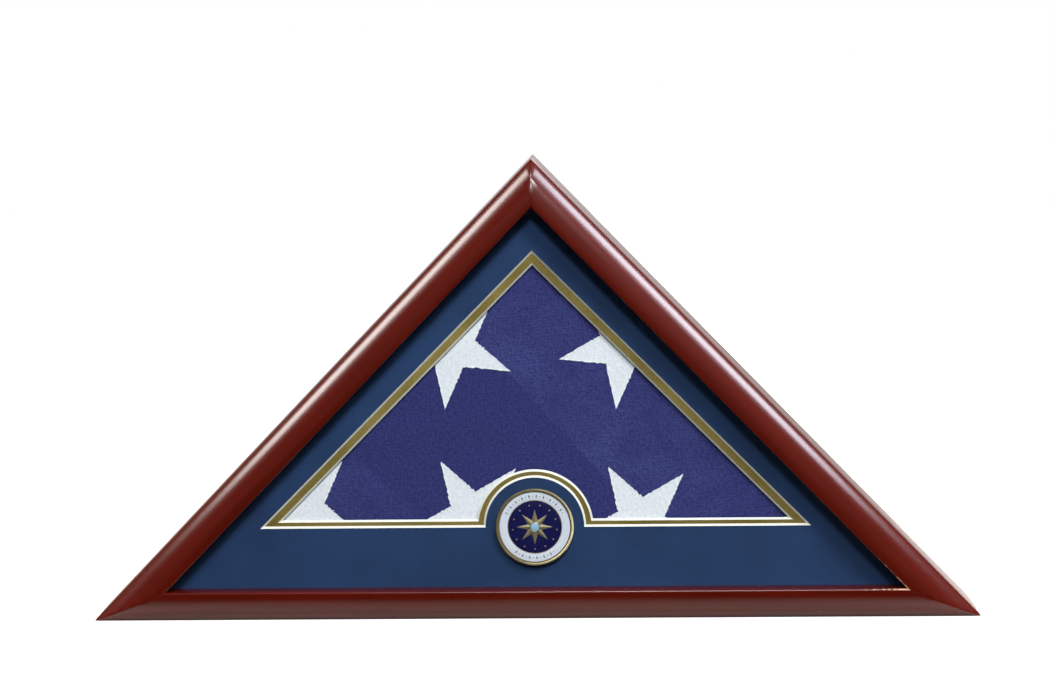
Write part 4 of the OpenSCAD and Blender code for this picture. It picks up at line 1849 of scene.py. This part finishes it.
@dataclass(frozen=True)
class Studio:
    """The pale floor, the soft lights and the camera."""

    eye: tuple[float, float, float] = (0.044, -1.8125, 0.427)
    pitch: float = 7.32
    yaw: float = 1.59
    roll: float = -0.69
    lens_mm: float = 85.71
    sensor_mm: float = 36.0
    floor_reach: float = 4.0
    floor_fade: tuple[float, float] = (-0.040, -0.080)
    fill: float = 0.25

    def camera(self) -> None:
        """Sets the camera in front of the case, a little above it."""
        data = bpy.data.cameras.new("camera")
        data.lens = self.lens_mm
        data.sensor_width = self.sensor_mm
        data.clip_start, data.clip_end = 0.05, 50.0
        # Rows of the view: right, down and forward; then Blender's own axes.
        level = Matrix(((1, 0, 0), (0, 0, -1), (0, 1, 0)))
        tilt = Matrix.Rotation(math.radians(self.pitch), 3, "X")
        swing = Matrix.Rotation(math.radians(self.yaw), 3, "Y")
        bank = Matrix.Rotation(math.radians(self.roll), 3, "Z")
        right, down, forward = bank @ tilt @ swing @ level
        turn = Matrix((right, -Vector(down), -Vector(forward))).transposed()
        seat = bpy.data.objects.new("camera", data)
        seat.matrix_world = Matrix.Translation(self.eye) @ turn.to_4x4()
        bpy.context.scene.collection.objects.link(seat)
        bpy.context.scene.camera = seat

    def floor(self) -> None:
        """Lays the floor, bright enough to meet the white backdrop without a line."""
        shape = bmesh.new()
        bmesh.ops.create_grid(shape, x_segments=1, y_segments=1, size=self.floor_reach)
        mesh = bpy.data.meshes.new("floor")
        shape.to_mesh(mesh)
        shape.free()
        material = bpy.data.materials.new("studio_floor")
        material.use_nodes = True
        tree = material.node_tree
        tree.nodes.clear()
        # White by the case and dark farther in front, so that the glass mirrors nothing pale.
        place = add_node(tree, "ShaderNodeTexCoord")
        split = add_node(tree, "ShaderNodeSeparateXYZ", {0: place.outputs["Object"]})
        near, far = self.floor_fade
        ahead = add_node(
            tree, "ShaderNodeMapRange",
            {"Value": split.outputs["Y"], "From Min": far, "From Max": near, "To Min": 0.01, "To Max": 0.7},
            interpolation_type="SMOOTHSTEP",
        )
        tones = {MIX_FACTOR: ahead, MIX_A: linear("000000"), MIX_B: linear("fff8ea")}
        paint = add_node(
            tree, "ShaderNodeBsdfDiffuse", {"Color": add_node(tree, "ShaderNodeMix", tones, data_type="RGBA")}
        )
        glow = add_node(tree, "ShaderNodeEmission", {"Color": linear("ffffff"), "Strength": 1.0})
        both = add_node(tree, "ShaderNodeAddShader", {0: paint, 1: glow})
        looked_at = add_node(tree, "ShaderNodeLightPath").outputs["Is Camera Ray"]
        seen = add_node(tree, "ShaderNodeMixShader", {0: looked_at, 1: paint, 2: both})
        add_node(tree, "ShaderNodeOutputMaterial", {"Surface": seen})
        mesh.materials.append(material)
        floor = bpy.data.objects.new("floor", mesh)
        bpy.context.scene.collection.objects.link(floor)

    def world(self) -> None:
        """A white backdrop behind the case and a dim room in front of it."""
        made = bpy.data.worlds.new("studio")
        bpy.context.scene.world = made
        made.use_nodes = True
        tree = made.node_tree
        tree.nodes.clear()
        ray = add_node(tree, "ShaderNodeLightPath")
        way = add_node(tree, "ShaderNodeTexCoord")
        split = add_node(tree, "ShaderNodeSeparateXYZ", {0: way.outputs["Generated"]})
        behind = add_node(
            tree, "ShaderNodeMapRange",
            {"Value": split.outputs["Y"], "From Min": 0.78, "From Max": 0.95, "To Min": 0.12, "To Max": 0.9},
            interpolation_type="SMOOTHSTEP",
        )
        room = add_node(
            tree, "ShaderNodeMapRange",
            {"Value": split.outputs["Y"], "From Min": -0.9, "From Max": -0.5, "To Min": 0.04, "To Max": 0.12},
        )
        level = add_node(tree, "ShaderNodeMath", {0: behind, 1: room}, operation="MAXIMUM")
        # Matt surfaces get an even fill that no gloss mirrors, as a large scrim far off gives.
        fill = {0: ray.outputs["Is Diffuse Ray"], 1: self.fill, 2: level}
        dim = add_node(
            tree, "ShaderNodeBackground", {"Strength": add_node(tree, "ShaderNodeMath", fill, operation="MULTIPLY_ADD")}
        )
        white = add_node(tree, "ShaderNodeBackground", {"Color": linear("ffffff"), "Strength": 1.0})
        seen = add_node(tree, "ShaderNodeMixShader", {0: ray.outputs["Is Camera Ray"], 1: dim, 2: white})
        add_node(tree, "ShaderNodeOutputWorld", {"Surface": seen})

    def build(self) -> None:
        """Sets up the whole studio."""
        self.camera()
        self.floor()
        self.world()
        for box in SOFT_BOXES:
            box.hang()
        bpy.context.scene.view_settings.view_transform = "Standard"


def main() -> None:
    """Builds the case's looks in order."""
    logging.basicConfig(level=logging.INFO, format="%(name)s: %(message)s")
    triangle = Triangle.from_frame()
    Studio().build()
    FrontMouldings(triangle).build()
    Boards(triangle).build()
    GlazingPack(triangle).build()
    WindowMats(triangle).build()
    Medallion().build()
    flag = FoldedFlag(triangle)
    cloth = flag.build()
    stars = FlagStars(triangle, flag).build()
    BackFittings().build()


if __name__ == "__main__":
    main()
